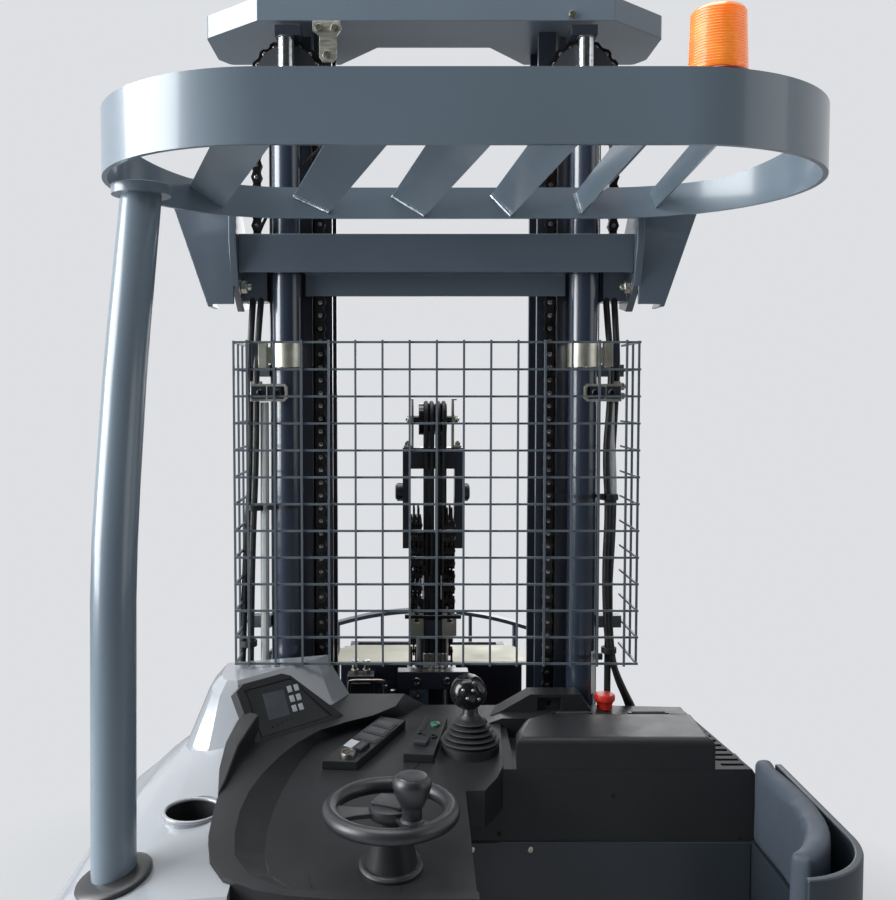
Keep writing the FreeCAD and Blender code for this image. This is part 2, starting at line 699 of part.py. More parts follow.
def storage_lid():
    """Rounded storage lid, closed, with its hinge barrel along the front."""
    low = WALL_TOP_Z + SEAT_GAP
    right = LID_LEFT_X + LID_WIDTH
    plan = [
        (LID_LEFT_X, BAY_REAR_Y),
        (right, BAY_REAR_Y),
        (right, BAY_REAR_Y + LID_DEPTH),
        (LID_LEFT_X + 66, BAY_REAR_Y + LID_DEPTH),
        (LID_LEFT_X + 26, BAY_REAR_Y + LID_DEPTH - 30),
        (LID_LEFT_X + 4, BAY_REAR_Y + 50),
    ]
    lid = flat_plate(plan, (low, LID_TOP_Z))
    lid = lid.makeFillet(14, [edge for edge in lid.Edges if edge.BoundBox.ZMin > LID_TOP_Z - 1])
    inside = block(
        (LID_LEFT_X + 40, right - 8),
        (BAY_REAR_Y + 8, BAY_REAR_Y + LID_DEPTH - 8),
        (low - 1, LID_TOP_Z - 10),
    )
    hinge_y, hinge_z = lid_hinge_line()
    barrels = []
    for x in ((LID_LEFT_X + 90, LID_LEFT_X + 150), (right - 110, right - 50)):
        barrels.append(rod((x[0], hinge_y, hinge_z), (x[1], hinge_y, hinge_z), LID_HINGE_RADIUS))
        barrels.append(block(x, (BAY_REAR_Y + LID_DEPTH - 12, hinge_y), (hinge_z - 5, hinge_z + 3)))
    bore = rod((LID_LEFT_X, hinge_y, hinge_z), (right, hinge_y, hinge_z), LID_HINGE_PIN + PIN_GAP)
    return fuse(lid.cut(inside), *barrels).cut(bore)


def lid_hinge_pins():
    """Hinge pins of the lid between their lugs on the deck."""
    hinge_y, hinge_z = lid_hinge_line()
    right = LID_LEFT_X + LID_WIDTH
    pieces = []
    for x in ((LID_LEFT_X + 90, LID_LEFT_X + 150), (right - 110, right - 50)):
        pin = rod((x[0] - 8, hinge_y, hinge_z), (x[1] + 8, hinge_y, hinge_z), LID_HINGE_PIN)
        for lug_x in ((x[0] - 8, x[0] - 1), (x[1] + 1, x[1] + 8)):
            pieces.append(block(lug_x, (hinge_y - 4, hinge_y + 4), (WALL_TOP_Z - 1, hinge_z + 4)))
        pieces.append(pin)
    return fuse(*pieces)


def cover_section(y, heights):
    """Outline across the left cover: a crowned top that falls to the truck's side."""
    places = (DECK_INNER_X, -400, -480, -545, -TRUCK_HALF_WIDTH + 7)
    low = BODY_TOP + SEAT_GAP
    place_y = REAR_Y + y
    crown = Part.BSplineCurve()
    crown.interpolate([V(x, place_y, z) for x, z in zip(places, heights)])
    foot = [
        V(-TRUCK_HALF_WIDTH, place_y, low + 2),
        V(-TRUCK_HALF_WIDTH, place_y, low),
        V(DECK_INNER_X, place_y, low),
    ]
    points = crown.discretize(CROWN_STEPS + 1) + foot
    return Part.makePolygon(points + points[:1])


def housing_outline(points, height, rise):
    """Plan outline of the display's fairing on a plane that rises to the right."""
    vectors = [V(x, REAR_Y + y, height + rise * (x - points[0][0])) for x, y in points]
    return Part.makePolygon(vectors + vectors[:1])


def pod_housing():
    """Fairing behind the instrument display, with a rounded left shoulder."""
    base = [
        (-345, 445),
        (-425, 466),
        (-472, 505),
        (-490, 560),
        (-492, BODY_LENGTH),
        (-100, BODY_LENGTH),
        (-150, 560),
    ]
    waist = [
        (-362, 500),
        (-398, 508),
        (-416, 528),
        (-428, 565),
        (-430, BODY_LENGTH),
        (-200, BODY_LENGTH),
        (-222, 606),
    ]
    crown = [
        (-366, 508),
        (-386, 514),
        (-396, 530),
        (-404, 565),
        (-406, BODY_LENGTH),
        (-210, BODY_LENGTH),
        (-232, 612),
    ]
    levels = [
        housing_outline(base, 1120, 0),
        housing_outline(waist, 1275, 0.08),
        housing_outline(crown, 1300, 0.08),
    ]
    return Part.makeLoft(levels, True, True)


def left_cover():
    """Light moulded cover over the left side, with the cup well and the fairing of the display."""
    cover = Part.makeLoft([cover_section(y, heights) for y, heights in COVER_CROWN], True, True)
    envelope = block((-TRUCK_HALF_WIDTH, TRUCK_HALF_WIDTH), (REAR_Y, BODY_FRONT_Y), (BODY_TOP, 1400))
    envelope = envelope.makeFillet(REAR_CORNER_RADIUS, upright_edges(envelope, y=REAR_Y))
    cup_y = REAR_Y + CUP_FROM_REAR
    collar = rod((CUP_X, cup_y, BODY_TOP + 20), (CUP_X, cup_y, CUP_TOP_Z), CUP_RADIUS + CUP_COLLAR)
    well = Part.makeCone(CUP_RADIUS - 6, CUP_RADIUS, CUP_DEPTH, V(CUP_X, cup_y, CUP_TOP_Z - CUP_DEPTH))
    foot, bend = PILLAR_POINTS[:2]
    pillar_room = rod(foot, bend, PILLAR_RADIUS + SEAT_GAP)
    body = cover.common(envelope).fuse(collar).fuse(pod_housing())
    over_cup = rod((CUP_X, cup_y, CUP_TOP_Z), (CUP_X, cup_y, CUP_TOP_Z + 40), CUP_RADIUS + CUP_COLLAR)
    deck_room = deck_zone(SEAT_GAP).common(below_deck(RIM_RISE + SEAT_GAP))
    body = body.cut(deck_room).cut(over_cup).cut(well).cut(pillar_room)
    return body.cut(pod_body(SEAT_GAP)).cut(pod_view())


def pod_frame():
    """Corner, edge direction, up direction and outward normal of the display's face."""
    corner, along_end, lean_end = [V(x, REAR_Y + y, z) for x, y, z in POD_CORNERS]
    along = (along_end - corner).normalize()
    lean = (lean_end - corner).normalize()
    outward = along.cross(lean).normalize()
    return corner, along, outward.cross(along), outward


def pod_outline(margin):
    """Rounded outline of the display's face, moved in by a margin."""
    corner, along, up, _ = pod_frame()
    places = POD_FACE
    if margin > 0:
        (left, low), (right, _), (top_right, top), (top_left, _) = POD_PANEL
        slant = margin * POD_PANEL_SLANT
        places = [
            (left + margin, low + margin),
            (right - margin, low + margin),
            (top_right - slant, top - margin),
            (top_left + slant, top - margin),
        ]
    points = [corner + along * a + up * b for a, b in places]
    return Part.Face(Part.makePolygon(points + points[:1]))


def pod_body(gap):
    """Slab of the display, grown by a gap, from the rim of the deck up."""
    outward = pod_frame()[3]
    slab = pod_outline(0).extrude(outward * -(POD_DEPTH + gap))
    return slab.cut(below_deck(RIM_RISE + SEAT_GAP - gap))


def pod_view():
    """Room in front of the display's face."""
    return pod_outline(0).extrude(pod_frame()[3] * 200)


def display_pod():
    """Instrument display: a leaning bezel with a sunk panel, on the rim of the deck."""
    outward = pod_frame()[3]
    sunk = pod_outline(POD_PANEL_MARGIN)
    sunk.translate(outward * -POD_PANEL_DEPTH)
    return pod_body(0).cut(sunk.extrude(outward * 10))


def switch_panels():
    """Two raised switch plates on the deck."""
    rise = below_deck(SEAT_GAP + SWITCH_PANEL_RISE).cut(below_deck(SEAT_GAP))
    plates = []
    for outline in SWITCH_PANELS:
        column = flat_plate(
            [(x, REAR_Y + y) for x, y in outline], (BODY_TOP, LID_TOP_Z + SWITCH_PANEL_RISE)
        )
        plates.append(column.common(rise))
    return Part.makeCompound(plates)


def joystick():
    """Mast control lever: stepped bellows and a round grip."""
    y = REAR_Y + LEVER_FROM_REAR
    base = deck_height(y) + 3
    root = -LEVER_ROOT
    section = [(0, root), (BELLOWS_STEPS[0][0], root)] + list(BELLOWS_STEPS + GRIP_STEPS)
    face = polygon([(r, 0, z) for r, z in section])
    lever = face.revolve(V(0, 0, 0), V(0, 0, 1), 360)
    lever.translate(V(LEVER_X, y, base))
    return lever.cut(below_deck(SEAT_GAP))


def steering_column():
    """Tapered column between the deck and the steering wheel."""
    foot = deck_height(STEERING_Y) - 10
    return fuse(
        Part.makeCone(42, 30, 1190 - foot, V(STEERING_X, STEERING_Y, foot)),
        rod((STEERING_X, STEERING_Y, 1190), (STEERING_X, STEERING_Y, STEERING_Z), 12),
    ).cut(below_deck(SEAT_GAP))


def steering_wheel():
    """Small wheel with three spokes and a spinner knob."""
    centre = V(STEERING_X, STEERING_Y, STEERING_Z)
    mid = STEERING_WHEEL_RADIUS - STEERING_RIM_RADIUS
    corners = [radians(22.5 + 45 * index) for index in range(8)]
    section = polygon(
        [(mid + STEERING_RIM_RADIUS * cos(a), 0, STEERING_RIM_RADIUS * sin(a)) for a in corners]
    )
    ring = section.revolve(V(0, 0, 0), V(0, 0, 1), 360)
    ring.translate(centre)
    hub = Part.makeCone(30, 24, 30, V(STEERING_X, STEERING_Y, STEERING_Z - 14))
    parts = [ring]
    for angle in (90, 210, 330):
        spoke = block((0, mid), (-14, 14), (-4, 4))
        spoke.rotate(V(0, 0, 0), V(0, 0, 1), angle)
        spoke.translate(centre)
        parts.append(spoke)
    knob_x = STEERING_X + KNOB_OFFSET
    knob_y = STEERING_Y - KNOB_OFFSET
    stem = rod((knob_x, knob_y, STEERING_Z - 8), (knob_x, knob_y, STEERING_Z + 30), 12)
    knob = Part.makeCone(22, 27, 44, V(knob_x, knob_y, STEERING_Z + 28))
    arm = block((0, KNOB_OFFSET * 1.4), (-10, 10), (-4, 4))
    arm.rotate(V(0, 0, 0), V(0, 0, 1), -45)
    arm.translate(centre)
    wheel_body = fuse(hub, *parts, stem, knob, arm)
    bore = rod(
        (STEERING_X, STEERING_Y, STEERING_Z - 20),
        (STEERING_X, STEERING_Y, STEERING_Z + PIN_GAP),
        12 + PIN_GAP,
    )
    return wheel_body.cut(bore)


def bolster_face(points, z):
    """Points along one face of the side rest at a height."""
    places = [(TRUCK_HALF_WIDTH - inwards, y) for inwards, y in points]
    return [edge.Vertexes[0].Point for edge in plan_curve(places, lambda y: z)]


def bolster_outline(inset, z):
    """Plan outline of the side rest at a height, moved in from both faces."""
    outer = bolster_face(BOLSTER_OUTER, z)
    inner = bolster_face(BOLSTER_INNER, z)
    across = [(b - a).normalize() * inset for a, b in zip(outer, inner)]
    points = [a + shift for a, shift in zip(outer, across)]
    points += [b - shift for b, shift in reversed(list(zip(inner, across)))]
    return Part.makePolygon(points + points[:1])


def side_bolster():
    """Padded side rest with a rear wing that curves round the operator."""
    levels = ((0, BODY_TOP + SEAT_GAP), (0, BOLSTER_TOP_Z - 9), (3, BOLSTER_TOP_Z - 3), (9, BOLSTER_TOP_Z))
    return Part.makeLoft([bolster_outline(inset, z) for inset, z in levels], True, True)


def right_cover():
    """Light outer cover: a skirt beside the storage deck and a curved shell behind the side rest."""
    low = BODY_TOP + SEAT_GAP
    envelope = block((0, TRUCK_HALF_WIDTH), (REAR_Y, BODY_FRONT_Y), (low, SHELL_TOP_Z))
    envelope = envelope.makeFillet(
        REAR_CORNER_RADIUS, upright_edges(envelope, x=TRUCK_HALF_WIDTH, y=REAR_Y)
    )
    inside = block(
        (-1, TRUCK_HALF_WIDTH - SKIRT), (REAR_Y + SKIRT, BODY_FRONT_Y + 1), (low - 1, SHELL_TOP_Z + 1)
    )
    inside = inside.makeFillet(
        REAR_CORNER_RADIUS - SKIRT, upright_edges(inside, x=TRUCK_HALF_WIDTH - SKIRT, y=REAR_Y + SKIRT)
    )
    shell = envelope.cut(inside)
    above = block((0, TRUCK_HALF_WIDTH + 1), (BAY_REAR_Y, BODY_FRONT_Y + 1), (SKIRT_TOP_Z, SHELL_TOP_Z + 1))
    left_of_wing = block((-1, 470), (REAR_Y - 1, REAR_Y + 60), (low - 1, SHELL_TOP_Z + 1))
    return shell.cut(above).cut(left_of_wing)


def knee_panel():
    """Steel panel in front of the operator's legs."""
    return block(
        (PARTITION_X + 1, RIGHT_WALL_X - 1), (
            BAY_REAR_Y - 3 - SEAT_GAP, BAY_REAR_Y - SEAT_GAP
        ), (PLATFORM_Z + 5, BODY_TOP - 2)
    )


def emergency_button():
    """Emergency stop with a mushroom head."""
    x = 327.0
    y = BODY_FRONT_Y - 22
    foot = 1212.0 + SEAT_GAP + 1
    stem = rod((x, y, foot), (x, y, 1232), 10)
    head = Part.makeCone(17, 19, 12, V(x, y, 1230))
    return fuse(stem, head)


# ---------------------------------------------------------------- overhead guard

def guard_outline(inset):
    """Racetrack face of the guard, moved in by a given amount, at its lower edge."""
    return slot_outline(
        (GUARD_LEFT_X + inset, GUARD_RIGHT_X - inset),
        (GUARD_REAR_Y + inset, GUARD_FRONT_Y - inset),
        GUARD_END_RADIUS - inset,
        GUARD_TOP - GUARD_BAND,
    )


def overhead_guard():
    """Flat-bar hoop with six slanting louvres and the lamp plate."""
    low = GUARD_TOP - GUARD_BAND
    hoop = guard_outline(0).extrude(V(0, 0, GUARD_BAND))
    opening = guard_outline(GUARD_BAR).extrude(V(0, 0, GUARD_BAND))
    hoop = hoop.cut(opening)
    far_top = low + GUARD_FAR_BAND
    lowered = side_plate(
        [
            (GUARD_FRONT_Y + 1, far_top),
            (GUARD_FRONT_Y + 1, GUARD_TOP + 1),
            (GUARD_CENTRE_Y - 100, GUARD_TOP + 1),
            (GUARD_FRONT_Y - 90, far_top),
        ],
        (GUARD_LEFT_X - 1, GUARD_RIGHT_X + 1),
    )
    hoop = hoop.cut(lowered)
    pieces = [hoop]
    run = 2 * GUARD_END_RADIUS
    for far_x, tilt, width in LOUVRES:
        shift = (LOUVRE_FAN_X - far_x) * run / LOUVRE_FAN_DISTANCE
        along = V(cos(radians(tilt)), 0, -sin(radians(tilt)))
        across = V(sin(radians(tilt)), 0, cos(radians(tilt))) * LOUVRE_THICKNESS
        corner = V(far_x, GUARD_FRONT_Y - GUARD_BAR / 2, far_top - 10)
        points = [corner, corner + along * width, corner + along * width - across, corner - across]
        slat = Part.Face(Part.makePolygon(points + points[:1])).extrude(V(shift, -run, 0))
        pieces.append(slat.common(guard_outline(GUARD_BAR / 2).extrude(V(0, 0, GUARD_BAND))))
    lamp_plate = block((331, 411), (GUARD_REAR_Y + 30, GUARD_REAR_Y + 120), (GUARD_TOP - 10, GUARD_TOP))
    lamp_arm = block((300, 345), (GUARD_REAR_Y + 2, GUARD_REAR_Y + 80), (GUARD_TOP - 10, GUARD_TOP))
    return fuse(*pieces, lamp_plate, lamp_arm)


def pillar_path():
    """Centre line of the guard's pillar: a straight foot and two long bends."""
    return rounded_path(PILLAR_POINTS, (900, 900))


def pillar_tube(radius, sides):
    """Bar of regular section lofted along the pillar's centre line."""
    places = pillar_path().discretize(PILLAR_STATIONS)
    sections = []
    for index, place in enumerate(places):
        before = places[max(index - 1, 0)]
        after = places[min(index + 1, len(places) - 1)]
        across = V(1, 0, 0)
        up = (after - before).cross(across).normalize()
        corners = [2 * pi * side / sides for side in range(sides)]
        points = [place + across * (radius * cos(a)) + up * (radius * sin(a)) for a in corners]
        sections.append(Part.makePolygon(points + points[:1]))
    return Part.makeLoft(sections, True, True)


def guard_pillar():
    """Bent tube that carries the guard at the left rear, with its top flange."""
    flange_z = GUARD_TOP - GUARD_BAND - 8 - SEAT_GAP
    top = V(PILLAR_X, REAR_Y + 298, flange_z - 8)
    flange = Part.makeCylinder(PILLAR_FLANGE_RADIUS, 16, top)
    wall = pillar_tube(PILLAR_RADIUS, 20).cut(pillar_tube(PILLAR_RADIUS - PILLAR_WALL, 10))
    return fuse(wall, flange)


def guard_brackets():
    """Side brackets that bolt the guard to the mast."""
    outline = [
        (GUARD_FRONT_Y, 2195),
        (GUARD_FRONT_Y + 60, 2195),
        (MAST_REAR_Y + 40, 2100),
        (MAST_REAR_Y + 40, 1995),
        (MAST_REAR_Y - 20, 1985),
        (MAST_REAR_Y - 85, 2030),
        (GUARD_FRONT_Y, 2110),
    ]
    inner = side_plate(outline, (378, 392))
    web_y = MAST_REAR_Y - 85
    web = polygon(
        [(388, web_y, 1995), (430, web_y, 1995), (496, web_y, 2188), (388, web_y, 2188)]
    ).extrude(V(0, 8, 0))
    flange = polygon(
        [(428, web_y, 1990), (438, web_y, 1990), (507, web_y, 2193), (496, web_y, 2193)]
    ).extrude(V(0, 60, 0))
    outer = fuse(web, flange)
    block_out = block((MAST_HALF_WIDTH + SEAT_GAP, 378), (MAST_REAR_Y - 30, MAST_REAR_Y + 30), (2005, 2095))
    return pair(fuse(inner, outer, block_out))


def tie_beam():
    """Folded beam that ties the two brackets behind the lift cylinders."""
    front_y = MAST_REAR_Y - 89
    front = block((-378 + SEAT_GAP, 378 - SEAT_GAP), (front_y, front_y + 10), (2055, 2128))
    floor = block((-255, 255), (front_y, MAST_REAR_Y - 30), (2055, 2065))
    back = block((-255, 255), (MAST_REAR_Y - 42, MAST_REAR_Y - 30), (2014, 2128))
    return fuse(front, floor, back)


def beacon():
    """Amber warning lamp on its base."""
    x = 371.0
    y = GUARD_REAR_Y + 75
    base = rod((x, y, GUARD_TOP + SEAT_GAP), (x, y, GUARD_TOP + 18), 45)
    outline = [(0, 0), (40, 0), (37, 76), (33, 83), (25, 88), (0, 88)]
    dome = polygon([(r, 0, z) for r, z in outline]).revolve(V(0, 0, 0), V(0, 0, 1), 360)
    dome.translate(V(x, y, GUARD_TOP + 18))
    return fuse(base, dome)


# ---------------------------------------------------------------- mast

def rail(x, depth, z, channel):
    """Right mast rail. The channel opens inward, or both ways for an I-shaped rail."""
    rear = MAST_CENTRE_Y - depth / 2
    front = MAST_CENTRE_Y + depth / 2
    solid = block(x, (rear, front), z)
    inside_y = (rear + RAIL_FLANGE, front - RAIL_FLANGE)
    if channel == "inward":
        return solid.cut(block((x[0] - 1, x[1] - RAIL_WEB), inside_y, z))
    web = (x[0] + x[1]) / 2
    solid = solid.cut(block((x[0] - 1, web - RAIL_WEB / 2), inside_y, z))
    return solid.cut(block((web + RAIL_WEB / 2, x[1] + 1), inside_y, z))


def outer_mast():
    """Fixed outer rails on the mast foot."""
    z = (MAST_FOOT_Z + MAST_FOOT_PLATE, OUTER_RAIL_TOP)
    right = rail((MAST_HALF_WIDTH - RAIL_WIDTH, MAST_HALF_WIDTH), MAST_DEPTH, z, "inward")
    return pair(right)


def lift_cylinders():
    """Barrels of the two main lift cylinders."""
    bottom = MAST_FOOT_Z + MAST_FOOT_PLATE
    top = OUTER_RAIL_TOP - 15
    barrel = tube(
        (LIFT_CYLINDER_X, LIFT_CYLINDER_Y, bottom + 20),
        (LIFT_CYLINDER_X, LIFT_CYLINDER_Y, top - 30),
        LIFT_CYLINDER_RADIUS,
        LIFT_ROD_RADIUS + 6,
    )
    foot = rod((LIFT_CYLINDER_X, LIFT_CYLINDER_Y, bottom), (LIFT_CYLINDER_X, LIFT_CYLINDER_Y, bottom + 20),
               LIFT_CYLINDER_RADIUS)
    gland = tube((LIFT_CYLINDER_X, LIFT_CYLINDER_Y, top - 30), (LIFT_CYLINDER_X, LIFT_CYLINDER_Y, top),
                 LIFT_CYLINDER_RADIUS, LIFT_ROD_RADIUS + PIN_GAP)
    return pair(fuse(foot, barrel, gland))


def mesh_wires():
    """Wires of the operator's mesh: the flat panel and the right wing."""
    reach = MESH_PITCH * MESH_COLUMNS / 2
    half = reach + MESH_EDGE
    height = MESH_PITCH * MESH_ROWS
    low = MESH_BOTTOM_Z - 4
    high = MESH_BOTTOM_Z + height + 4
    upright_y = (MESH_Y - WIRE - SEAT_GAP, MESH_Y - SEAT_GAP)
    panel = []
    for column in range(MESH_COLUMNS + 1):
        x = -reach + column * MESH_PITCH
        panel.append(block((x - WIRE / 2, x + WIRE / 2), upright_y, (low, high)))
    wing = []
    wing_end = MESH_Y + WIRE + MESH_PITCH * MESH_WING_COLUMNS
    for row in range(MESH_ROWS + 1):
        z = MESH_BOTTOM_Z + row * MESH_PITCH
        z_range = (z - WIRE / 2, z + WIRE / 2)
        panel.append(block((-half - WIRE / 2, half + WIRE / 2), (MESH_Y, MESH_Y + WIRE), z_range))
        wing.append(
            block((half - WIRE / 2, half + WIRE / 2), (MESH_Y + WIRE + SEAT_GAP, wing_end), z_range)
        )
    for column in range(MESH_WING_COLUMNS):
        y = MESH_Y + WIRE + MESH_EDGE + column * MESH_PITCH
        wing.append(
            block((half + WIRE / 2 + SEAT_GAP, half + 1.5 * WIRE + SEAT_GAP), (y - WIRE, y), (low, high))
        )
    return panel, wing


def mesh_panel():
    """Flat front of the mesh guard."""
    return Part.makeCompound(mesh_wires()[0])


def mesh_wing():
    """Right wing of the mesh guard with its two fixing straps."""
    half = MESH_PITCH * MESH_COLUMNS / 2 + MESH_EDGE
    wing_end = MESH_Y + WIRE + MESH_PITCH * MESH_WING_COLUMNS
    straps = []
    for z in (MESH_BOTTOM_Z + MESH_PITCH, MESH_BOTTOM_Z + MESH_PITCH * (MESH_ROWS - 1)):
        strap = block(
            (MAST_HALF_WIDTH + SEAT_GAP, half - WIRE / 2 - SEAT_GAP),
            (wing_end - 30, wing_end - 5),
            (z - 12, z + 12),
        )
        straps.append(strap)
    return Part.makeCompound(mesh_wires()[1] + straps)


def middle_mast():
    """Middle rails with the low cross plate and the rod brackets."""
    bottom = MAST_FOOT_Z + MAST_FOOT_PLATE + 10
    depth = MAST_DEPTH - DEPTH_STEP
    top = HEAD_BOTTOM_Z - 11
    right = rail((MIDDLE_IN_X, MIDDLE_OUT_X), depth, (bottom, top), "both")
    rear = MAST_CENTRE_Y - depth / 2
    cross = block((-MIDDLE_OUT_X, MIDDLE_OUT_X), (rear - 12, rear), (bottom, bottom + 300))
    roller_radius = (MAST_DEPTH - 2 * RAIL_FLANGE) / 2 - ROLLER_GAP
    roller_z = bottom + 90
    web_out = (MIDDLE_IN_X + MIDDLE_OUT_X) / 2 + RAIL_WEB / 2
    stub = rod((web_out, MAST_CENTRE_Y, roller_z), (MIDDLE_OUT_X + 8, MAST_CENTRE_Y, roller_z), 20)
    roller = rod(
        (MIDDLE_OUT_X + 7, MAST_CENTRE_Y, roller_z),
        (MAST_HALF_WIDTH - RAIL_WEB - 3, MAST_CENTRE_Y, roller_z),
        roller_radius,
    )
    ear = block(
        (LIFT_CYLINDER_X - 30, LIFT_CYLINDER_X + 20), (LIFT_CYLINDER_Y - 18, rear), (top - ROD_EAR, top)
    )
    sheave_pin = rod(
        (SHEAVE_X, rear + 4, SHEAVE_Z), (SHEAVE_X, CHAIN_Y - SHEAVE_WIDTH / 2 - 1, SHEAVE_Z), 12
    )
    post = block((MIDDLE_IN_X, SHEAVE_X + 30), (rear - 4, rear + 8), (SHEAVE_Z - 30, SHEAVE_Z + 30))
    side = fuse(right, stub, roller, ear, sheave_pin, post)
    return fuse(cross, side, mirrored(side))


def chain_sheaves():
    """Grooved sheaves on the middle rails."""
    half = SHEAVE_WIDTH / 2
    outline = [
        (12 + PIN_GAP, -half),
        (SHEAVE_FLANGE_RADIUS, -half),
        (SHEAVE_RADIUS, -half + 3),
        (SHEAVE_RADIUS, half - 3),
        (SHEAVE_FLANGE_RADIUS, half),
        (12 + PIN_GAP, half),
    ]
    face = polygon([(r, y, 0) for r, y in outline])
    sheave = face.revolve(V(0, 0, 0), V(0, 1, 0), 360)
    sheave.translate(V(SHEAVE_X, CHAIN_Y, SHEAVE_Z))
    return pair(sheave)


def lift_rods():
    """Rods of the main lift cylinders, up to the middle rails."""
    top = HEAD_BOTTOM_Z - 11 - ROD_EAR - SEAT_GAP
    bottom = OUTER_RAIL_TOP - 15 - MAIN_STROKE - 80
    return pair(
        rod(
            (LIFT_CYLINDER_X, LIFT_CYLINDER_Y, bottom),
            (LIFT_CYLINDER_X, LIFT_CYLINDER_Y, top),
            LIFT_ROD_RADIUS,
        )
    )


def strand(x, y, z):
    """Straight run of lift chain, seen on its flat side from the rear."""
    return block(
        (x - CHAIN_WIDTH / 2, x + CHAIN_WIDTH / 2), (y - CHAIN_THICKNESS / 2, y + CHAIN_THICKNESS / 2), z
    )


def outer_chains():
    """Strands from the sheaves out and down to the guard brackets."""
    x = SHEAVE_X + SHEAVE_RADIUS + CHAIN_WIDTH / 2 + SEAT_GAP
    return pair(strand(x, CHAIN_Y, (2095 + SEAT_GAP, SHEAVE_Z)))


def inner_chains():
    """Strands from the sheaves down to the foot of the inner rails."""
    x = SHEAVE_X - SHEAVE_RADIUS - CHAIN_WIDTH / 2 - SEAT_GAP
    return pair(strand(x, CHAIN_Y, (MAST_FOOT_Z + MAST_FOOT_PLATE + 345, SHEAVE_Z)))


def inner_mast():
    """Inner rails with their low and high cross plates and the cylinder shelf."""
    bottom = MAST_FOOT_Z + MAST_FOOT_PLATE + 20
    depth = MAST_DEPTH - 2 * DEPTH_STEP
    rear = MAST_CENTRE_Y - depth / 2
    right = rail((INNER_IN_X, INNER_OUT_X), depth, (bottom, HEAD_BOTTOM_Z - SEAT_GAP), "inward")
    cross = block((-INNER_IN_X, INNER_IN_X), (rear, rear + 12), (bottom, bottom + 260))
    shelf = block((-70, 70), (rear, FREE_CYLINDER_Y + 45), (bottom, bottom + 20))
    high = block((-INNER_IN_X, INNER_IN_X), (rear, rear + 12), (2340, 2470))
    roller_radius = (MAST_DEPTH - DEPTH_STEP - 2 * RAIL_FLANGE) / 2 - ROLLER_GAP
    web_in = (MIDDLE_IN_X + MIDDLE_OUT_X) / 2 - RAIL_WEB / 2
    roller = rod(
        (INNER_OUT_X - 1, MAST_CENTRE_Y, bottom + 90),
        (web_in - 3, MAST_CENTRE_Y, bottom + 90),
        roller_radius,
    )
    side = fuse(right, roller)
    return fuse(cross, shelf, high, side, mirrored(side))


def mast_head():
    """Wide top plate of the inner rails, notched for the crosshead."""
    front = MAST_REAR_Y - 50
    outline = [
        (-345, front),
        (345, front),
        (462, MAST_REAR_Y + 48),
        (462, MAST_FRONT_Y + 15),
        (440, MAST_FRONT_Y + 48),
        (200, MAST_FRONT_Y + 48),
        (116, MAST_CENTRE_Y + 21),
        (-116, MAST_CENTRE_Y + 21),
        (-200, MAST_FRONT_Y + 48),
        (-440, MAST_FRONT_Y + 48),
        (-462, MAST_FRONT_Y + 15),
        (-462, MAST_REAR_Y + 48),
    ]
    head = flat_plate(outline, (HEAD_BOTTOM_Z, MAST_HEIGHT))
    corners = [
        edge
        for edge in head.Edges if edge.BoundBox.ZLength > HEAD_PLATE / 2 and abs(edge.BoundBox.XMax) > 430
    ]
    return head.makeFillet(16, corners)


def free_lift_cylinder():
    """Barrel of the free-lift cylinder on the shelf of the inner rails."""
    bottom = MAST_FOOT_Z + MAST_FOOT_PLATE + 40 + SEAT_GAP
    x = 0.0
    y = FREE_CYLINDER_Y
    foot = rod((x, y, bottom), (x, y, bottom + 25), FREE_CYLINDER_RADIUS)
    barrel = tube(
        (x, y, bottom + 25),
        (x, y, FREE_CYLINDER_TOP - 30),
        FREE_CYLINDER_RADIUS,
        FREE_ROD_RADIUS + 6,
    )
    gland = tube(
        (x, y, FREE_CYLINDER_TOP - 30),
        (x, y, FREE_CYLINDER_TOP),
        FREE_CYLINDER_RADIUS,
        FREE_ROD_RADIUS + PIN_GAP,
    )
    anchor = block((-50, 50), (y - FREE_CYLINDER_RADIUS - 16, y - FREE_CYLINDER_RADIUS + 8), (1301, 1340))
    return fuse(foot, barrel, gland, anchor)


def manifold_block():
    """Hose manifold at the foot of the visible cylinder."""
    y = FREE_CYLINDER_Y - FREE_CYLINDER_RADIUS - SEAT_GAP
    return block((-75, 75), (y - 34, y), (1195, 1233))


def free_lift_rod():
    """Rod of the free-lift cylinder."""
    bottom = FREE_CYLINDER_TOP - FREE_STROKE - 80
    return rod(
        (0, FREE_CYLINDER_Y, bottom), (0, FREE_CYLINDER_Y, CROSSHEAD_BOTTOM - SEAT_GAP), FREE_ROD_RADIUS
    )


def crosshead():
    """Crosshead on the free-lift rod, with windows and side bosses."""
    half = CROSSHEAD_WIDTH / 2
    y = (FREE_CYLINDER_Y - 22, FREE_CYLINDER_Y + 22)
    neck_z = CROSSHEAD_BOTTOM + 59
    body = block((-half, half), y, (neck_z, CROSSHEAD_TOP))
    neck = block((-half + 28, half - 28), y, (CROSSHEAD_BOTTOM, neck_z))
    window = block(
        (-FREE_CHAIN_X - 12, FREE_CHAIN_X + 12), (y[0] - 1, y[1] + 1), (neck_z + 35, CROSSHEAD_TOP - 45)
    )
    boss = rod((-half - 12, FREE_CYLINDER_Y, neck_z + 120), (-half, FREE_CYLINDER_Y, neck_z + 120), 20)
    return fuse(body.cut(window), neck, boss, mirrored(boss))


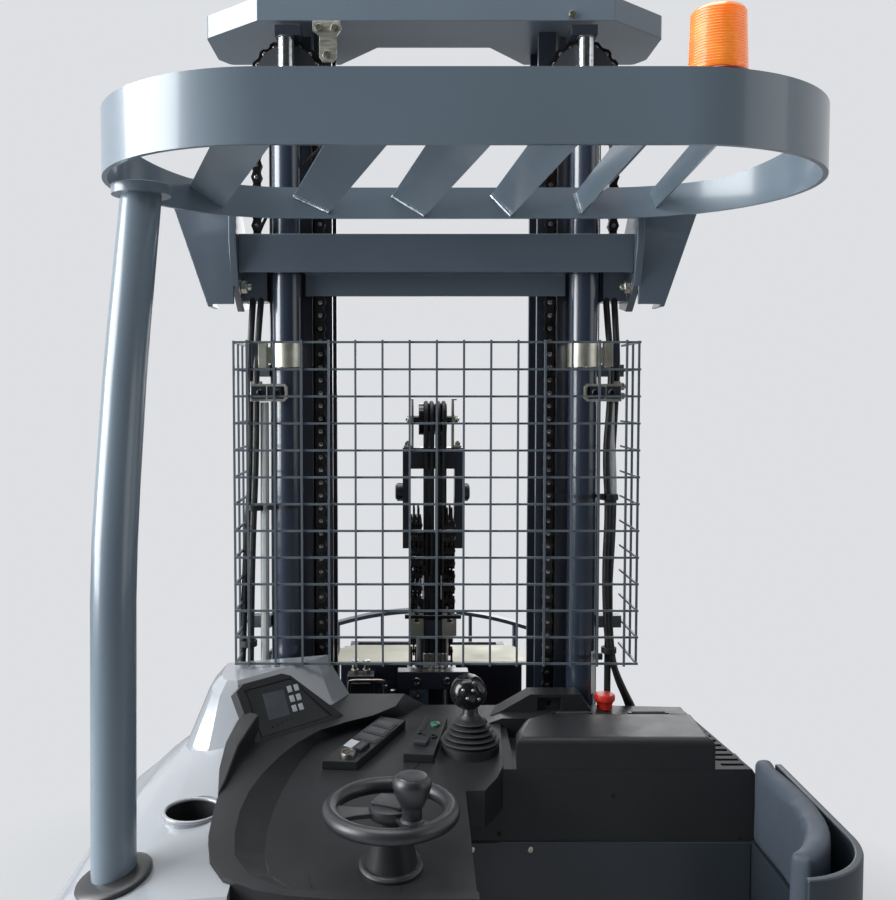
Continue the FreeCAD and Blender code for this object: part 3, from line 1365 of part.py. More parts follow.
def hose_pulleys():
    """Chain wheels and hose pulleys of the crosshead."""
    half = PULLEY_UNIT_WIDTH / 2
    y = (FREE_CYLINDER_Y - 20, FREE_CYLINDER_Y + 20)
    low = CROSSHEAD_TOP + SEAT_GAP
    cheeks = [
        block((-half, -half + 6), y, (low, PULLEY_UNIT_TOP)),
        block((half - 6, half), y, (low, PULLEY_UNIT_TOP)),
    ]
    pin = rod(
        (-half + 2, FREE_CYLINDER_Y, PULLEY_UNIT_TOP - 45),
        (half - 2, FREE_CYLINDER_Y, PULLEY_UNIT_TOP - 45),
        8,
    )
    drum = rod(
        (-30, FREE_CYLINDER_Y, PULLEY_UNIT_TOP - 45),
        (30, FREE_CYLINDER_Y, PULLEY_UNIT_TOP - 45),
        HOSE_DRUM_RADIUS,
    )
    return fuse(*cheeks, pin, drum)


def free_chains(rear_side):
    """Free-lift chain strands on one side of the crosshead."""
    if rear_side:
        y = FREE_CYLINDER_Y - FREE_CYLINDER_RADIUS - 8
        z = (1340 + SEAT_GAP, CROSSHEAD_BOTTOM + 140)
    else:
        y = FREE_CYLINDER_Y + FREE_CYLINDER_RADIUS + CHAIN_THICKNESS / 2 + 1
        z = (CARRIAGE_TOP + SEAT_GAP, CROSSHEAD_BOTTOM + 140)
    depth = CHAIN_THICKNESS / 2
    return pair(block((FREE_CHAIN_X - 10, FREE_CHAIN_X + 10), (y - depth, y + depth), z))


# ---------------------------------------------------------------- reach mechanism

def guide_ribs(centre_y, x, z):
    """Two upright ribs that guide an arm's roller."""
    gap = ARM_ROLLER_RADIUS + ROLLER_GAP
    rear = block(x, (centre_y - gap - GUIDE_RIB, centre_y - gap), z)
    front = block(x, (centre_y + gap, centre_y + gap + GUIDE_RIB), z)
    return rear, front


def reach_carriage():
    """Mast carriage: an open-fronted box with guide ribs, on four rollers."""
    x_wall = (CARRIAGE_HALF_WIDTH - CARRIAGE_SIDE, CARRIAGE_HALF_WIDTH)
    wall_y = (CARRIAGE_REAR_Y, PIVOT_Y + ARM_ROLLER_RADIUS + GUIDE_RIB + 2)
    wall = block(x_wall, wall_y, (CARRIAGE_BOTTOM, CARRIAGE_TOP))
    roller_arm_x = (INNER_IN_X - 8 - 15, INNER_IN_X - 8)
    roller_arm = side_plate(
        [
            (MAST_CENTRE_Y - 45, 180),
            (CARRIAGE_REAR_Y + 10, 180),
            (CARRIAGE_REAR_Y + 10, 760),
            (MAST_CENTRE_Y - 45, 700),
        ],
        roller_arm_x,
    )
    parts = [wall, roller_arm]
    roller_radius = (MAST_DEPTH - 2 * DEPTH_STEP - 2 * RAIL_FLANGE) / 2 - ROLLER_GAP
    for z in (250, 640):
        parts.append(rod((roller_arm_x[0], MAST_CENTRE_Y, z), (INNER_IN_X + 3, MAST_CENTRE_Y, z), 18))
        parts.append(
            rod(
                (INNER_IN_X + 2, MAST_CENTRE_Y, z),
                (INNER_OUT_X - RAIL_WEB - 2, MAST_CENTRE_Y, z),
                roller_radius,
            )
        )
    parts.extend(guide_ribs(PIVOT_Y, (x_wall[0] - 20, x_wall[0]), (CARRIAGE_BOTTOM + 20, 770)))
    parts.append(
        rod((OUTER_ARM_X + 1, PIVOT_Y, ARM_PIVOT_Z), (x_wall[0] + 2, PIVOT_Y, ARM_PIVOT_Z), ARM_PIN_RADIUS)
    )
    side = fuse(*parts)
    back = block(
        (-x_wall[0], x_wall[0]), (CARRIAGE_REAR_Y, CARRIAGE_REAR_Y + 12), (CARRIAGE_BOTTOM, CARRIAGE_TOP)
    )
    top = block((-x_wall[0], x_wall[0]), (CARRIAGE_REAR_Y, wall_y[1]), (CARRIAGE_TOP - 15, CARRIAGE_TOP))
    bridge = block(
        (-FREE_CHAIN_X - 20, FREE_CHAIN_X + 20),
        (FREE_CYLINDER_Y + HOSE_DRUM_RADIUS + SLIDE_GAP, CARRIAGE_REAR_Y + 2),
        (CARRIAGE_TOP - 30, CARRIAGE_TOP),
    )
    cylinder_room = rod((0, FREE_CYLINDER_Y, CARRIAGE_TOP - 40), (0, FREE_CYLINDER_Y, CARRIAGE_TOP + 1),
                        FREE_CYLINDER_RADIUS + SLIDE_GAP)
    return fuse(back, top, bridge.cut(cylinder_room), side, mirrored(side))


def arm_plate(x, bottom_first):
    """One arm between its two pin centres, as a plate with round ends and a bulged middle."""
    if bottom_first:
        start = V(0, PIVOT_Y, ARM_PIVOT_Z - FOLDED_DROP)
        end = V(0, FORK_PIVOT_Y, ARM_PIVOT_Z)
    else:
        start = V(0, PIVOT_Y, ARM_PIVOT_Z)
        end = V(0, FORK_PIVOT_Y, ARM_PIVOT_Z - FOLDED_DROP)
    along = (end - start).normalize()
    across = V(1, 0, 0).cross(along)
    end_half = ARM_WIDTH / 2 - 12
    half = ARM_WIDTH / 2
    middle = (start + end) * 0.5
    outline = [
        start + across * end_half,
        middle - along * 90 + across * half,
        middle + along * 90 + across * half,
        end + across * end_half,
        end - across * end_half,
        middle + along * 90 - across * half,
        middle - along * 90 - across * half,
        start - across * end_half,
    ]
    plate = Part.Face(Part.makePolygon(outline + outline[:1]))
    plate.translate(V(x[0], 0, 0))
    solid = plate.extrude(V(x[1] - x[0], 0, 0))
    for point in (start, end):
        solid = solid.fuse(rod((x[0], point.y, point.z), (x[1], point.y, point.z), end_half))
    return solid.removeSplitter()


MID_Y = (PIVOT_Y + FORK_PIVOT_Y) / 2
MID_Z = ARM_PIVOT_Z - FOLDED_DROP / 2
LOW_PIN_Z = ARM_PIVOT_Z - FOLDED_DROP
CROSS_TUBE_FROM_END = 145.0


def outer_arms():
    """Outer pair of scissor arms: pinned to the mast carriage at the top, on rollers at the bottom."""
    x = (OUTER_ARM_X, OUTER_ARM_X + ARM_THICKNESS)
    arm = arm_plate(x, False)
    hole = rod((x[0] - 1, PIVOT_Y, ARM_PIVOT_Z), (x[1] + 1, PIVOT_Y, ARM_PIVOT_Z), ARM_PIN_RADIUS + PIN_GAP)
    arm = arm.cut(hole)
    centre_pin = rod((INNER_ARM_X - 4, MID_Y, MID_Z), (x[1], MID_Y, MID_Z), ARM_PIN_RADIUS)
    roller_x = CARRIAGE_HALF_WIDTH - CARRIAGE_SIDE - 1
    pin = rod((x[0], FORK_PIVOT_Y, LOW_PIN_Z), (roller_x, FORK_PIVOT_Y, LOW_PIN_Z), 12)
    roller = rod(
        (roller_x - 9, FORK_PIVOT_Y, LOW_PIN_Z), (roller_x, FORK_PIVOT_Y, LOW_PIN_Z), ARM_ROLLER_RADIUS
    )
    share = CROSS_TUBE_FROM_END / ARM_LENGTH
    tube_y = PIVOT_Y + FOLDED_REACH * share
    tube_z = ARM_PIVOT_Z - FOLDED_DROP * share
    cross = rod((-x[0] - 4, tube_y, tube_z), (x[0] + 4, tube_y, tube_z), 24)
    side = fuse(arm, centre_pin, pin, roller)
    return fuse(cross, side, mirrored(side))


def inner_arms():
    """Inner pair of scissor arms: pinned to the fork carriage at the top, on rollers at the bottom."""
    x = (INNER_ARM_X, INNER_ARM_X + ARM_THICKNESS)
    arm = arm_plate(x, True)
    for y, z in ((MID_Y, MID_Z), (FORK_PIVOT_Y, ARM_PIVOT_Z)):
        arm = arm.cut(rod((x[0] - 1, y, z), (x[1] + 1, y, z), ARM_PIN_RADIUS + PIN_GAP))
    rib_x = CARRIAGE_HALF_WIDTH - CARRIAGE_SIDE - 1
    pin = rod((x[0], PIVOT_Y, LOW_PIN_Z), (rib_x, PIVOT_Y, LOW_PIN_Z), 12)
    roller = rod((rib_x - 19, PIVOT_Y, LOW_PIN_Z), (rib_x, PIVOT_Y, LOW_PIN_Z), ARM_ROLLER_RADIUS)
    share = CROSS_TUBE_FROM_END / ARM_LENGTH
    tube_y = PIVOT_Y + FOLDED_REACH * share
    tube_z = LOW_PIN_Z + FOLDED_DROP * share
    cross = rod((-x[0] - 4, tube_y, tube_z), (x[0] + 4, tube_y, tube_z), 24)
    side = fuse(arm, pin, roller)
    return fuse(cross, side, mirrored(side))


def fork_carriage():
    """Carriage in front of the arms, with guide ribs and the lugs of the tilt pins."""
    x_wall = (CARRIAGE_HALF_WIDTH - CARRIAGE_SIDE, CARRIAGE_HALF_WIDTH)
    rear = FORK_PIVOT_Y - 40
    front = FORK_PIVOT_Y + 58
    wall = side_plate(
        [
            (rear, CARRIAGE_BOTTOM),
            (front, CARRIAGE_BOTTOM),
            (front, TILT_PIN_Z - 60),
            (TILT_PIN_Y, TILT_PIN_Z - 28),
            (TILT_PIN_Y + 12, TILT_PIN_Z),
            (TILT_PIN_Y, TILT_PIN_Z + 28),
            (front, TILT_PIN_Z + 60),
            (front, ARM_PIVOT_Z + 30),
            (rear, ARM_PIVOT_Z + 30),
        ],
        x_wall,
    )
    ribs = guide_ribs(FORK_PIVOT_Y, (x_wall[0] - 10, x_wall[0]), (CARRIAGE_BOTTOM + 20, 770))
    pin = rod(
        (INNER_ARM_X - 4, FORK_PIVOT_Y, ARM_PIVOT_Z),
        (x_wall[0] + 2, FORK_PIVOT_Y, ARM_PIVOT_Z),
        ARM_PIN_RADIUS,
    )
    tilt_pin = rod(
        (x_wall[0] - 34, TILT_PIN_Y, TILT_PIN_Z), (x_wall[0] + 2, TILT_PIN_Y, TILT_PIN_Z), TILT_PIN_RADIUS
    )
    side = fuse(wall, *ribs, pin, tilt_pin)
    plates = []
    for z in ((CARRIAGE_BOTTOM, CARRIAGE_BOTTOM + 90), (TILT_PIN_Z + 80, TILT_PIN_Z + 200),
              (ARM_PIVOT_Z - 80, ARM_PIVOT_Z + 30)):
        plates.append(block((-x_wall[0], x_wall[0]), (front - 12, front), z))
    return fuse(*plates, side, mirrored(side))


def fork_frame():
    """Tilting frame: two fork bars and the plates that hang on the tilt pins."""
    y = (FORK_BAR_Y, FORK_SHANK_Y)
    bars = []
    for z in (
        (FORK_BAR_LOW_Z, FORK_BAR_LOW_Z + FORK_BAR_HEIGHT),
        (FORK_BAR_HIGH_Z - FORK_BAR_HEIGHT, FORK_BAR_HIGH_Z),
    ):
        bars.append(block((-FORK_BAR_HALF_WIDTH, FORK_BAR_HALF_WIDTH), y, z))
    hanger = side_plate(
        [
            (FORK_BAR_Y + 5, FORK_BAR_LOW_Z + 5),
            (FORK_SHANK_Y - 5, FORK_BAR_LOW_Z + 5),
            (FORK_SHANK_Y - 5, FORK_BAR_HIGH_Z - 5),
            (FORK_BAR_Y + 3, FORK_BAR_HIGH_Z - 5),
            (FORK_BAR_Y + 3, TILT_PIN_Z + 10),
            (TILT_PIN_Y, TILT_PIN_Z + 28),
            (TILT_PIN_Y - 24, TILT_PIN_Z),
            (TILT_PIN_Y, TILT_PIN_Z - 28),
            (FORK_BAR_Y + 5, TILT_PIN_Z - 70),
        ],
        (155, 178),
    )
    hole = rod((150, TILT_PIN_Y, TILT_PIN_Z), (180, TILT_PIN_Y, TILT_PIN_Z), TILT_PIN_RADIUS + PIN_GAP)
    hanger = hanger.cut(hole)
    return fuse(*bars, hanger, mirrored(hanger))


def load_backrest():
    """Backrest: upright flat bars under an arched top bar, standing on the upper fork bar."""
    rear = FORK_SHANK_Y - BACKREST_BAR_DEPTH
    low = BACKREST_FOOT_Z
    radius = (BACKREST_HALF_WIDTH ** 2 + BACKREST_DROP ** 2) / (2 * BACKREST_DROP)
    centre_z = BACKREST_TOP_Z - radius
    depth = BACKREST_BAR_DEPTH

    def arch(outer):
        return rod((0, rear, centre_z), (0, rear + depth, centre_z), outer)

    room = block(
        (-BACKREST_HALF_WIDTH, BACKREST_HALF_WIDTH), (rear, rear + depth), (low, BACKREST_TOP_Z + 1)
    )
    top = arch(radius).cut(arch(radius - 10)).common(room)
    pieces = [top]
    count = int(BACKREST_HALF_WIDTH // BACKREST_PITCH)
    places = [step * BACKREST_PITCH for step in range(-count, count + 1)]
    ends = [-BACKREST_HALF_WIDTH + BACKREST_BAR / 2, BACKREST_HALF_WIDTH - BACKREST_BAR / 2]
    posts = [-BACKREST_PITCH, 0.0, BACKREST_PITCH] + ends
    for x in places + ends:
        bar_low = FORK_BAR_HIGH_Z + SEAT_GAP if x in posts else low
        bar = block(
            (x - BACKREST_BAR / 2, x + BACKREST_BAR / 2), (rear, rear + depth), (bar_low, BACKREST_TOP_Z)
        )
        pieces.append(bar.common(arch(radius - 5)))
    foot = block((-BACKREST_HALF_WIDTH, BACKREST_HALF_WIDTH), (rear, rear + depth), (low, low + 12))
    return fuse(foot, *pieces)


def fork():
    """Right fork: a tapered blade and a shank that hooks over the fork bars."""
    y = FORK_SHANK_Y + SEAT_GAP
    front = y + FORK_THICKNESS
    tip = FORK_SHANK_Y + FORK_THICKNESS + FORK_LENGTH
    top = FORK_BAR_HIGH_Z + 45
    outline = [
        (y, FORK_BOTTOM_Z + 30),
        (y + 30, FORK_BOTTOM_Z),
        (tip - 150, FORK_BOTTOM_Z),
        (tip, FORK_BOTTOM_Z + FORK_THICKNESS / 2 - FORK_TIP_THICKNESS / 2),
        (tip, FORK_BOTTOM_Z + FORK_THICKNESS / 2 + FORK_TIP_THICKNESS / 2),
        (tip - 400, FORK_BOTTOM_Z + FORK_THICKNESS),
        (front, FORK_BOTTOM_Z + FORK_THICKNESS),
        (front, top - 15),
        (front - 15, top),
        (FORK_BAR_Y - 12, top),
        (FORK_BAR_Y - 12, FORK_BAR_HIGH_Z - 12),
        (FORK_BAR_Y - SEAT_GAP, FORK_BAR_HIGH_Z - 12),
        (FORK_BAR_Y - SEAT_GAP, FORK_BAR_HIGH_Z + 15),
        (y, FORK_BAR_HIGH_Z + 15),
    ]
    x = (FORK_CENTRE_X - FORK_WIDTH / 2, FORK_CENTRE_X + FORK_WIDTH / 2)
    blade = side_plate(outline, x)
    hook = block(x, (FORK_BAR_Y - 12, y + 5), (FORK_BAR_LOW_Z - 30, FORK_BAR_LOW_Z - 4))
    blade = fuse(blade, hook)
    tip_edges = upright_edges(blade, y=tip)
    return blade.makeFillet(FORK_WIDTH * 0.4, tip_edges)


# ---------------------------------------------------------------- drive and caster

def drive_unit():
    """Steered drive: turntable, gear leg beside the wheel and the upright motor."""
    x = DRIVE_X
    y = DRIVE_Y
    radius = DRIVE_WHEEL_DIAMETER / 2
    table = rod((x, y, DRIVE_PLATE_Z - 30), (x, y, DRIVE_PLATE_Z - SEAT_GAP), 112)
    neck = rod(
        (x, y, DRIVE_PLATE_Z - 1), (x, y, DRIVE_PLATE_Z + DRIVE_PLATE + 1), DRIVE_NECK_RADIUS - PIN_GAP
    )
    collar = rod(
        (x, y, DRIVE_PLATE_Z + DRIVE_PLATE + SEAT_GAP), (x, y, DRIVE_PLATE_Z + DRIVE_PLATE + 20), 100
    )
    motor = rod(
        (x, y, DRIVE_PLATE_Z + DRIVE_PLATE + 15),
        (x, y, DRIVE_PLATE_Z + DRIVE_PLATE + MOTOR_HEIGHT),
        MOTOR_RADIUS,
    )
    motor = motor.makeFillet(14, [motor.Edges[0]])
    leg_x = (x + DRIVE_WHEEL_WIDTH / 2 + 6, x + DRIVE_WHEEL_WIDTH / 2 + 42)
    leg_low = rod((leg_x[0], y, radius), (leg_x[1], y, radius), 60)
    leg = block(leg_x, (y - 60, y + 60), (radius, DRIVE_PLATE_Z - 20))
    axle = rod((x - DRIVE_WHEEL_WIDTH / 2, y, radius), (leg_x[0] + 2, y, radius), DRIVE_AXLE_RADIUS)
    return fuse(table, neck, collar, motor, leg, leg_low, axle)


def drive_wheel():
    """Drive wheel on the gear leg's axle."""
    radius = DRIVE_WHEEL_DIAMETER / 2
    return wheel(
        (DRIVE_X, DRIVE_Y, radius),
        radius,
        DRIVE_WHEEL_WIDTH,
        DRIVE_AXLE_RADIUS + PIN_GAP,
        radius - 32,
    )


def caster_fork():
    """Swivel fork of the balance caster with its pin and axle."""
    x = CASTER_X
    y = CASTER_Y
    wheel_y = y - CASTER_TRAIL
    radius = CASTER_WHEEL_DIAMETER / 2
    crown_z = CASTER_PLATE_Z - 28
    half = CASTER_WHEEL_WIDTH / 2 + 4
    pin = rod((x, y, crown_z), (x, y, CASTER_PLATE_Z + WALL + 12), CASTER_PIN_RADIUS)
    race = rod((x, y, crown_z), (x, y, CASTER_PLATE_Z - SEAT_GAP), 42)
    crown = block((x - half - 8, x + half + 8), (wheel_y - 30, y + 40), (crown_z - 10, crown_z + 2))
    cheek = side_plate(
        [
            (wheel_y - 16, radius - 16),
            (wheel_y + 16, radius - 16),
            (y + 40, crown_z),
            (wheel_y - 30, crown_z),
        ],
        (x + half, x + half + 8),
    )
    other = side_plate(
        [
            (wheel_y - 16, radius - 16),
            (wheel_y + 16, radius - 16),
            (y + 40, crown_z),
            (wheel_y - 30, crown_z),
        ],
        (x - half - 8, x - half),
    )
    axle = rod((x - half - 6, wheel_y, radius), (x + half + 6, wheel_y, radius), CASTER_AXLE_RADIUS)
    return fuse(pin, race, crown, cheek, other, axle)


def caster_wheel():
    """Balance caster wheel."""
    radius = CASTER_WHEEL_DIAMETER / 2
    return wheel(
        (CASTER_X, CASTER_Y - CASTER_TRAIL, radius),
        radius,
        CASTER_WHEEL_WIDTH,
        CASTER_AXLE_RADIUS + PIN_GAP,
        radius - 18,
    )


def build_nodes():
    """Every named piece of the truck at rest: mast lowered, forks drawn in."""
    return {
        "chassis_frame": chassis_frame(),
        "mast_foot": mast_foot(),
        "battery": battery(),
        "outrigger_right": outrigger(),
        "outrigger_left": mirrored(outrigger()),
        "platform_floor": platform_floor(),
        "knee_panel": knee_panel(),
        "console_deck": console_deck(),
        "left_cover": left_cover(),
        "display_pod": display_pod(),
        "switch_panels": switch_panels(),
        "joystick": joystick(),
        "steering_column": steering_column(),
        "side_bolster": side_bolster(),
        "right_cover": right_cover(),
        "emergency_button": emergency_button(),
        "overhead_guard": overhead_guard(),
        "guard_pillar": guard_pillar(),
        "guard_brackets": guard_brackets(),
        "tie_beam": tie_beam(),
        "beacon": beacon(),
        "outer_mast": outer_mast(),
        "lift_cylinders": lift_cylinders(),
        "mesh_panel": mesh_panel(),
        "mesh_wing_right": mesh_wing(),
        "mesh_wing_left": mirrored(mesh_wing()),
        "storage_lid": storage_lid(),
        "steering_wheel": steering_wheel(),
        "middle_mast": middle_mast(),
        "chain_sheaves": chain_sheaves(),
        "lift_rods": lift_rods(),
        "outer_chains": outer_chains(),
        "inner_chains": inner_chains(),
        "inner_mast": inner_mast(),
        "mast_head": mast_head(),
        "free_lift_cylinder": free_lift_cylinder(),
        "manifold_block": manifold_block(),
        "crosshead": crosshead(),
        "hose_pulleys": hose_pulleys(),
        "free_lift_rod": free_lift_rod(),
        "free_chains_rear": free_chains(True),
        "free_chains_front": free_chains(False),
        "reach_carriage": reach_carriage(),
        "outer_arms": outer_arms(),
        "inner_arms": inner_arms(),
        "fork_carriage": fork_carriage(),
        "fork_frame": fork_frame(),
        "load_backrest": load_backrest(),
        "fork_right": fork(),
        "fork_left": mirrored(fork()),
        "drive_unit": drive_unit(),
        "drive_wheel": drive_wheel(),
        "caster_fork": caster_fork(),
        "caster_wheel": caster_wheel(),
        "load_wheel_right": load_wheel(),
        "load_wheel_left": mirrored(load_wheel()),
    }


os.makedirs("parts", exist_ok=True)
for name, shape in build_nodes().items():
    if not shape.isValid():
        print("not valid:", name)
    shape.exportStep("parts/" + name + ".step")
    box = shape.BoundBox
    print(f"{name:22s} X {box.XMin:8.1f} {box.XMax:8.1f}  Y {box.YMin:8.1f} {box.YMax:8.1f}"
          f"  Z {box.ZMin:8.1f} {box.ZMax:8.1f}  solids {len(shape.Solids)}")
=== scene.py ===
import json
import logging
import math
from dataclasses import dataclass
from enum import Enum
from typing import Callable, Sequence

import bpy
from mathutils import Euler, Matrix, Vector

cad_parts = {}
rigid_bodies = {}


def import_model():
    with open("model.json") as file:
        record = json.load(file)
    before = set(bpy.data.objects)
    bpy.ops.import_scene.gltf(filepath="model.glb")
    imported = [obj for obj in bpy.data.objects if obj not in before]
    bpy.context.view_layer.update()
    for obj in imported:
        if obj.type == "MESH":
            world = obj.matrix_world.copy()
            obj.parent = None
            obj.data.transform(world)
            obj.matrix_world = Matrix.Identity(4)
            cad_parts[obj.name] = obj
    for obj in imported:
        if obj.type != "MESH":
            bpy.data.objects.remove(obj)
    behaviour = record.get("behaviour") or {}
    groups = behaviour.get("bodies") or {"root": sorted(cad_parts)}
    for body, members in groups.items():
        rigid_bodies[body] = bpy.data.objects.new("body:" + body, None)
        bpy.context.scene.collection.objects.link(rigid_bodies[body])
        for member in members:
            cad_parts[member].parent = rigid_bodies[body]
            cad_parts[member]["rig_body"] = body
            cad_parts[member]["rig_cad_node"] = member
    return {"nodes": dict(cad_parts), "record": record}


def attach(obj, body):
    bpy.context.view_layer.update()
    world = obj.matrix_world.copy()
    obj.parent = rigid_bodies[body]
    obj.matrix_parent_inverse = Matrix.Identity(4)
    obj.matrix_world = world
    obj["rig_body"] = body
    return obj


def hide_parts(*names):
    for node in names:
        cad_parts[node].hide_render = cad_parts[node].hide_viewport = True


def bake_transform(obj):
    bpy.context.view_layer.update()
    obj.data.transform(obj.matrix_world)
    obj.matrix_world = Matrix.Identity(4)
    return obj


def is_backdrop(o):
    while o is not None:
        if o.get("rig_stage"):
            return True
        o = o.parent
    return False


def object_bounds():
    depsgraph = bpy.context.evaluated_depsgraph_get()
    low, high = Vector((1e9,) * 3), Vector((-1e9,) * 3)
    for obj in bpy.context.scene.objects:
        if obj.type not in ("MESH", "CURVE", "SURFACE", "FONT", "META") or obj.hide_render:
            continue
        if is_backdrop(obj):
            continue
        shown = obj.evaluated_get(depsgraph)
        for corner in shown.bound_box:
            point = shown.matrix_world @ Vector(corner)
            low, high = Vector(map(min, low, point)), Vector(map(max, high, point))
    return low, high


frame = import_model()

LOG = logging.getLogger("reach_truck")
MM = 0.001
BOTH = (-1, 1)  # left and right side
DOUBLES = 0.00002  # distance in metres at which a CAD node's loose corners are merged
DECK_FOOT, DECK_SLOPE = 1128.0, 0.13386  # height of the deck at the rear in millimetres, and its rise

Point = tuple[float, float, float]
Colour = tuple[int, int, int]
Linear = tuple[float, float, float, float]
Outline = Sequence[tuple[float, float]]
Piece = bpy.types.Object
Socket = bpy.types.NodeSocket
FaceTest = Callable[[float, float, float, float], bool]

BODY_OF: dict[str, str] = {
    node: body for body, nodes in frame["record"]["behaviour"]["bodies"].items() for node in nodes
}
SLOT_OF: dict[str, str] = {part["node"]: part["material_slot"] for part in frame["record"]["subparts"]}


# ------------------------------------------------------------------ finishes


def linear(colour: Colour, factor: float = 1.0) -> Linear:
    """Converts an 8-bit display colour to scene-linear, darker or lighter by a factor.

    Args:
        colour: Red, green and blue from 0 to 255.
        factor: Factor on the linear values.

    Returns:
        The linear colour with full alpha.
    """
    shares = [value / 255 for value in colour]
    lights = [s / 12.92 if s <= 0.04045 else ((s + 0.055) / 1.055) ** 2.4 for s in shares]
    red, green, blue = (min(light * factor, 1.0) for light in lights)
    return (red, green, blue, 1.0)


class Tree:
    """A node tree under construction."""

    def __init__(self, owner: bpy.types.ID) -> None:
        """Opens a node tree.

        Args:
            owner: Material or world that has it.
        """
        owner.use_nodes = True
        self.nodes = owner.node_tree.nodes
        self.links = owner.node_tree.links

    def feed(self, node: bpy.types.Node, inputs: dict) -> None:
        """Feeds the inputs of a node.

        Args:
            node: Node to feed.
            inputs: Constants or other nodes' outputs, under the inputs' names or numbers.
        """
        for name, value in inputs.items():
            if isinstance(value, Socket):
                self.links.new(value, node.inputs[name])
            else:
                node.inputs[name].default_value = value

    def add(self, kind: str, output: str, inputs: dict, **settings: object) -> Socket:
        """Adds a node.

        Args:
            kind: Its type, without the prefix that all share.
            output: Name of the output that is wanted.
            inputs: Constants or other nodes' outputs for its inputs.
            **settings: Its own settings.

        Returns:
            That output.
        """
        node = self.nodes.new(f"ShaderNode{kind}")
        for name, value in settings.items():
            setattr(node, name, value)
        self.feed(node, inputs)
        return node.outputs[output]

    def math(self, operation: str, first: Socket, second: Socket) -> Socket:
        """Adds a calculation with two values and returns its result."""
        return self.add("Math", "Value", {0: first, 1: second}, operation=operation)


class Shader(Tree):
    """A node material under construction, with its pattern on object coordinates."""

    def __init__(self, name: str) -> None:
        """Starts a material.

        Args:
            name: Name of the material.
        """
        self.material = bpy.data.materials.new(name)
        super().__init__(self.material)
        self.surface = self.nodes["Principled BSDF"]
        self.coordinates = self.add("TexCoord", "Object", {})

    def set(self, **values: object) -> None:
        """Feeds the surface's own inputs; underscores stand for spaces."""
        self.feed(self.surface, {name.replace("_", " "): value for name, value in values.items()})

    def noise(self, scale: float, detail: float = 3.0, stretch: Point = (1.0, 1.0, 1.0)) -> Socket:
        """Adds a noise pattern.

        Args:
            scale: Lumps per metre.
            detail: Octaves of the noise.
            stretch: Factor on each axis.

        Returns:
            The noise value from 0 to 1.
        """
        place = self.add("Mapping", "Vector", {"Vector": self.coordinates, "Scale": stretch})
        return self.add("TexNoise", "Fac", {"Vector": place, "Scale": scale, "Detail": detail})

    def ramp(self, value: Socket, low: float, high: float, first: Linear, second: Linear) -> Socket:
        """Adds a colour ramp over a value.

        Args:
            value: Socket that drives the ramp.
            low: Value at which the first colour ends.
            high: Value at which the second colour starts.
            first: Linear colour below low.
            second: Linear colour above high.

        Returns:
            The ramp's colour.
        """
        colour = self.add("ValToRGB", "Color", {"Fac": value})
        for element, place, tone in zip(colour.node.color_ramp.elements, (low, high), (first, second)):
            element.position = place
            element.color = tone
        return colour

    def scaled(self, value: Socket, low: float, high: float) -> Socket:
        """Maps a value from 0..1 to low..high."""
        return self.add("MapRange", "Result", {"Value": value, "To Min": low, "To Max": high})

    def bump(self, height: Socket, strength: float, distance: float) -> None:
        """Adds a bump to the surface.

        Args:
            height: Socket that gives the height.
            strength: Strength from 0 to 1.
            distance: Height of the bump in metres.
        """
        sizes = {"Height": height, "Strength": strength, "Distance": distance}
        self.set(Normal=self.add("Bump", "Normal", sizes))


@dataclass(frozen=True)
class Recipe:
    """What every finish has: the name of its material and its main colour."""

    name: str
    colour: Colour

    def dress(self, shader: Shader) -> None:
        """Adds the finish's own pattern to a new material."""
        raise NotImplementedError

    def build(self) -> bpy.types.Material:
        """Builds the node material of this finish.

        Returns:
            The material with its pattern.
        """
        shader = Shader(self.name)
        self.dress(shader)
        return shader.material


@dataclass(frozen=True)
class GlossPaint(Recipe):
    """Sprayed gloss paint on steel: orange peel, faint clouding and uneven gloss."""

    roughness: float = 0.28
    coat: float = 0.45
    dust: float = 0.12

    def dress(self, shader: Shader) -> None:
        """Adds the paint's pattern.

        Args:
            shader: New material.
        """
        tones = linear(self.colour, 0.9), linear(self.colour, 1.0 + self.dust)
        shader.set(
            Base_Color=shader.ramp(shader.noise(2.5, 1.0), 0.3, 0.75, *tones),
            Roughness=shader.scaled(shader.noise(16.0, 1.0), self.roughness, self.roughness * 1.2),
            Coat_Weight=self.coat, Coat_Roughness=0.12, IOR=1.5,
        )
        shader.bump(shader.noise(140.0, 0.0), 0.04, 0.0005)


@dataclass(frozen=True)
class MouldedPlastic(Recipe):
    """Moulded plastic with a leather-like grain, scuffs and soft edges to its gloss."""

    roughness: float = 0.5
    grain: float = 900.0
    depth: float = 0.00025
    scuff: float = 0.2
    gloss: float = 0.3

    def dress(self, shader: Shader) -> None:
        """Adds the plastic's pattern.

        Args:
            shader: New material.
        """
        tones = linear(self.colour, 0.92), linear(self.colour, 1.0 + self.scuff)
        shader.set(
            Base_Color=shader.ramp(shader.noise(7.0, 6.0), 0.35, 0.8, *tones),
            Roughness=shader.scaled(shader.noise(26.0, 4.0), self.roughness * 0.8, self.roughness * 1.25),
            IOR=1.48, Specular_IOR_Level=self.gloss,
        )
        cells = shader.add("TexVoronoi", "Distance", {"Vector": shader.coordinates, "Scale": self.grain})
        shader.bump(cells, 0.35, self.depth)


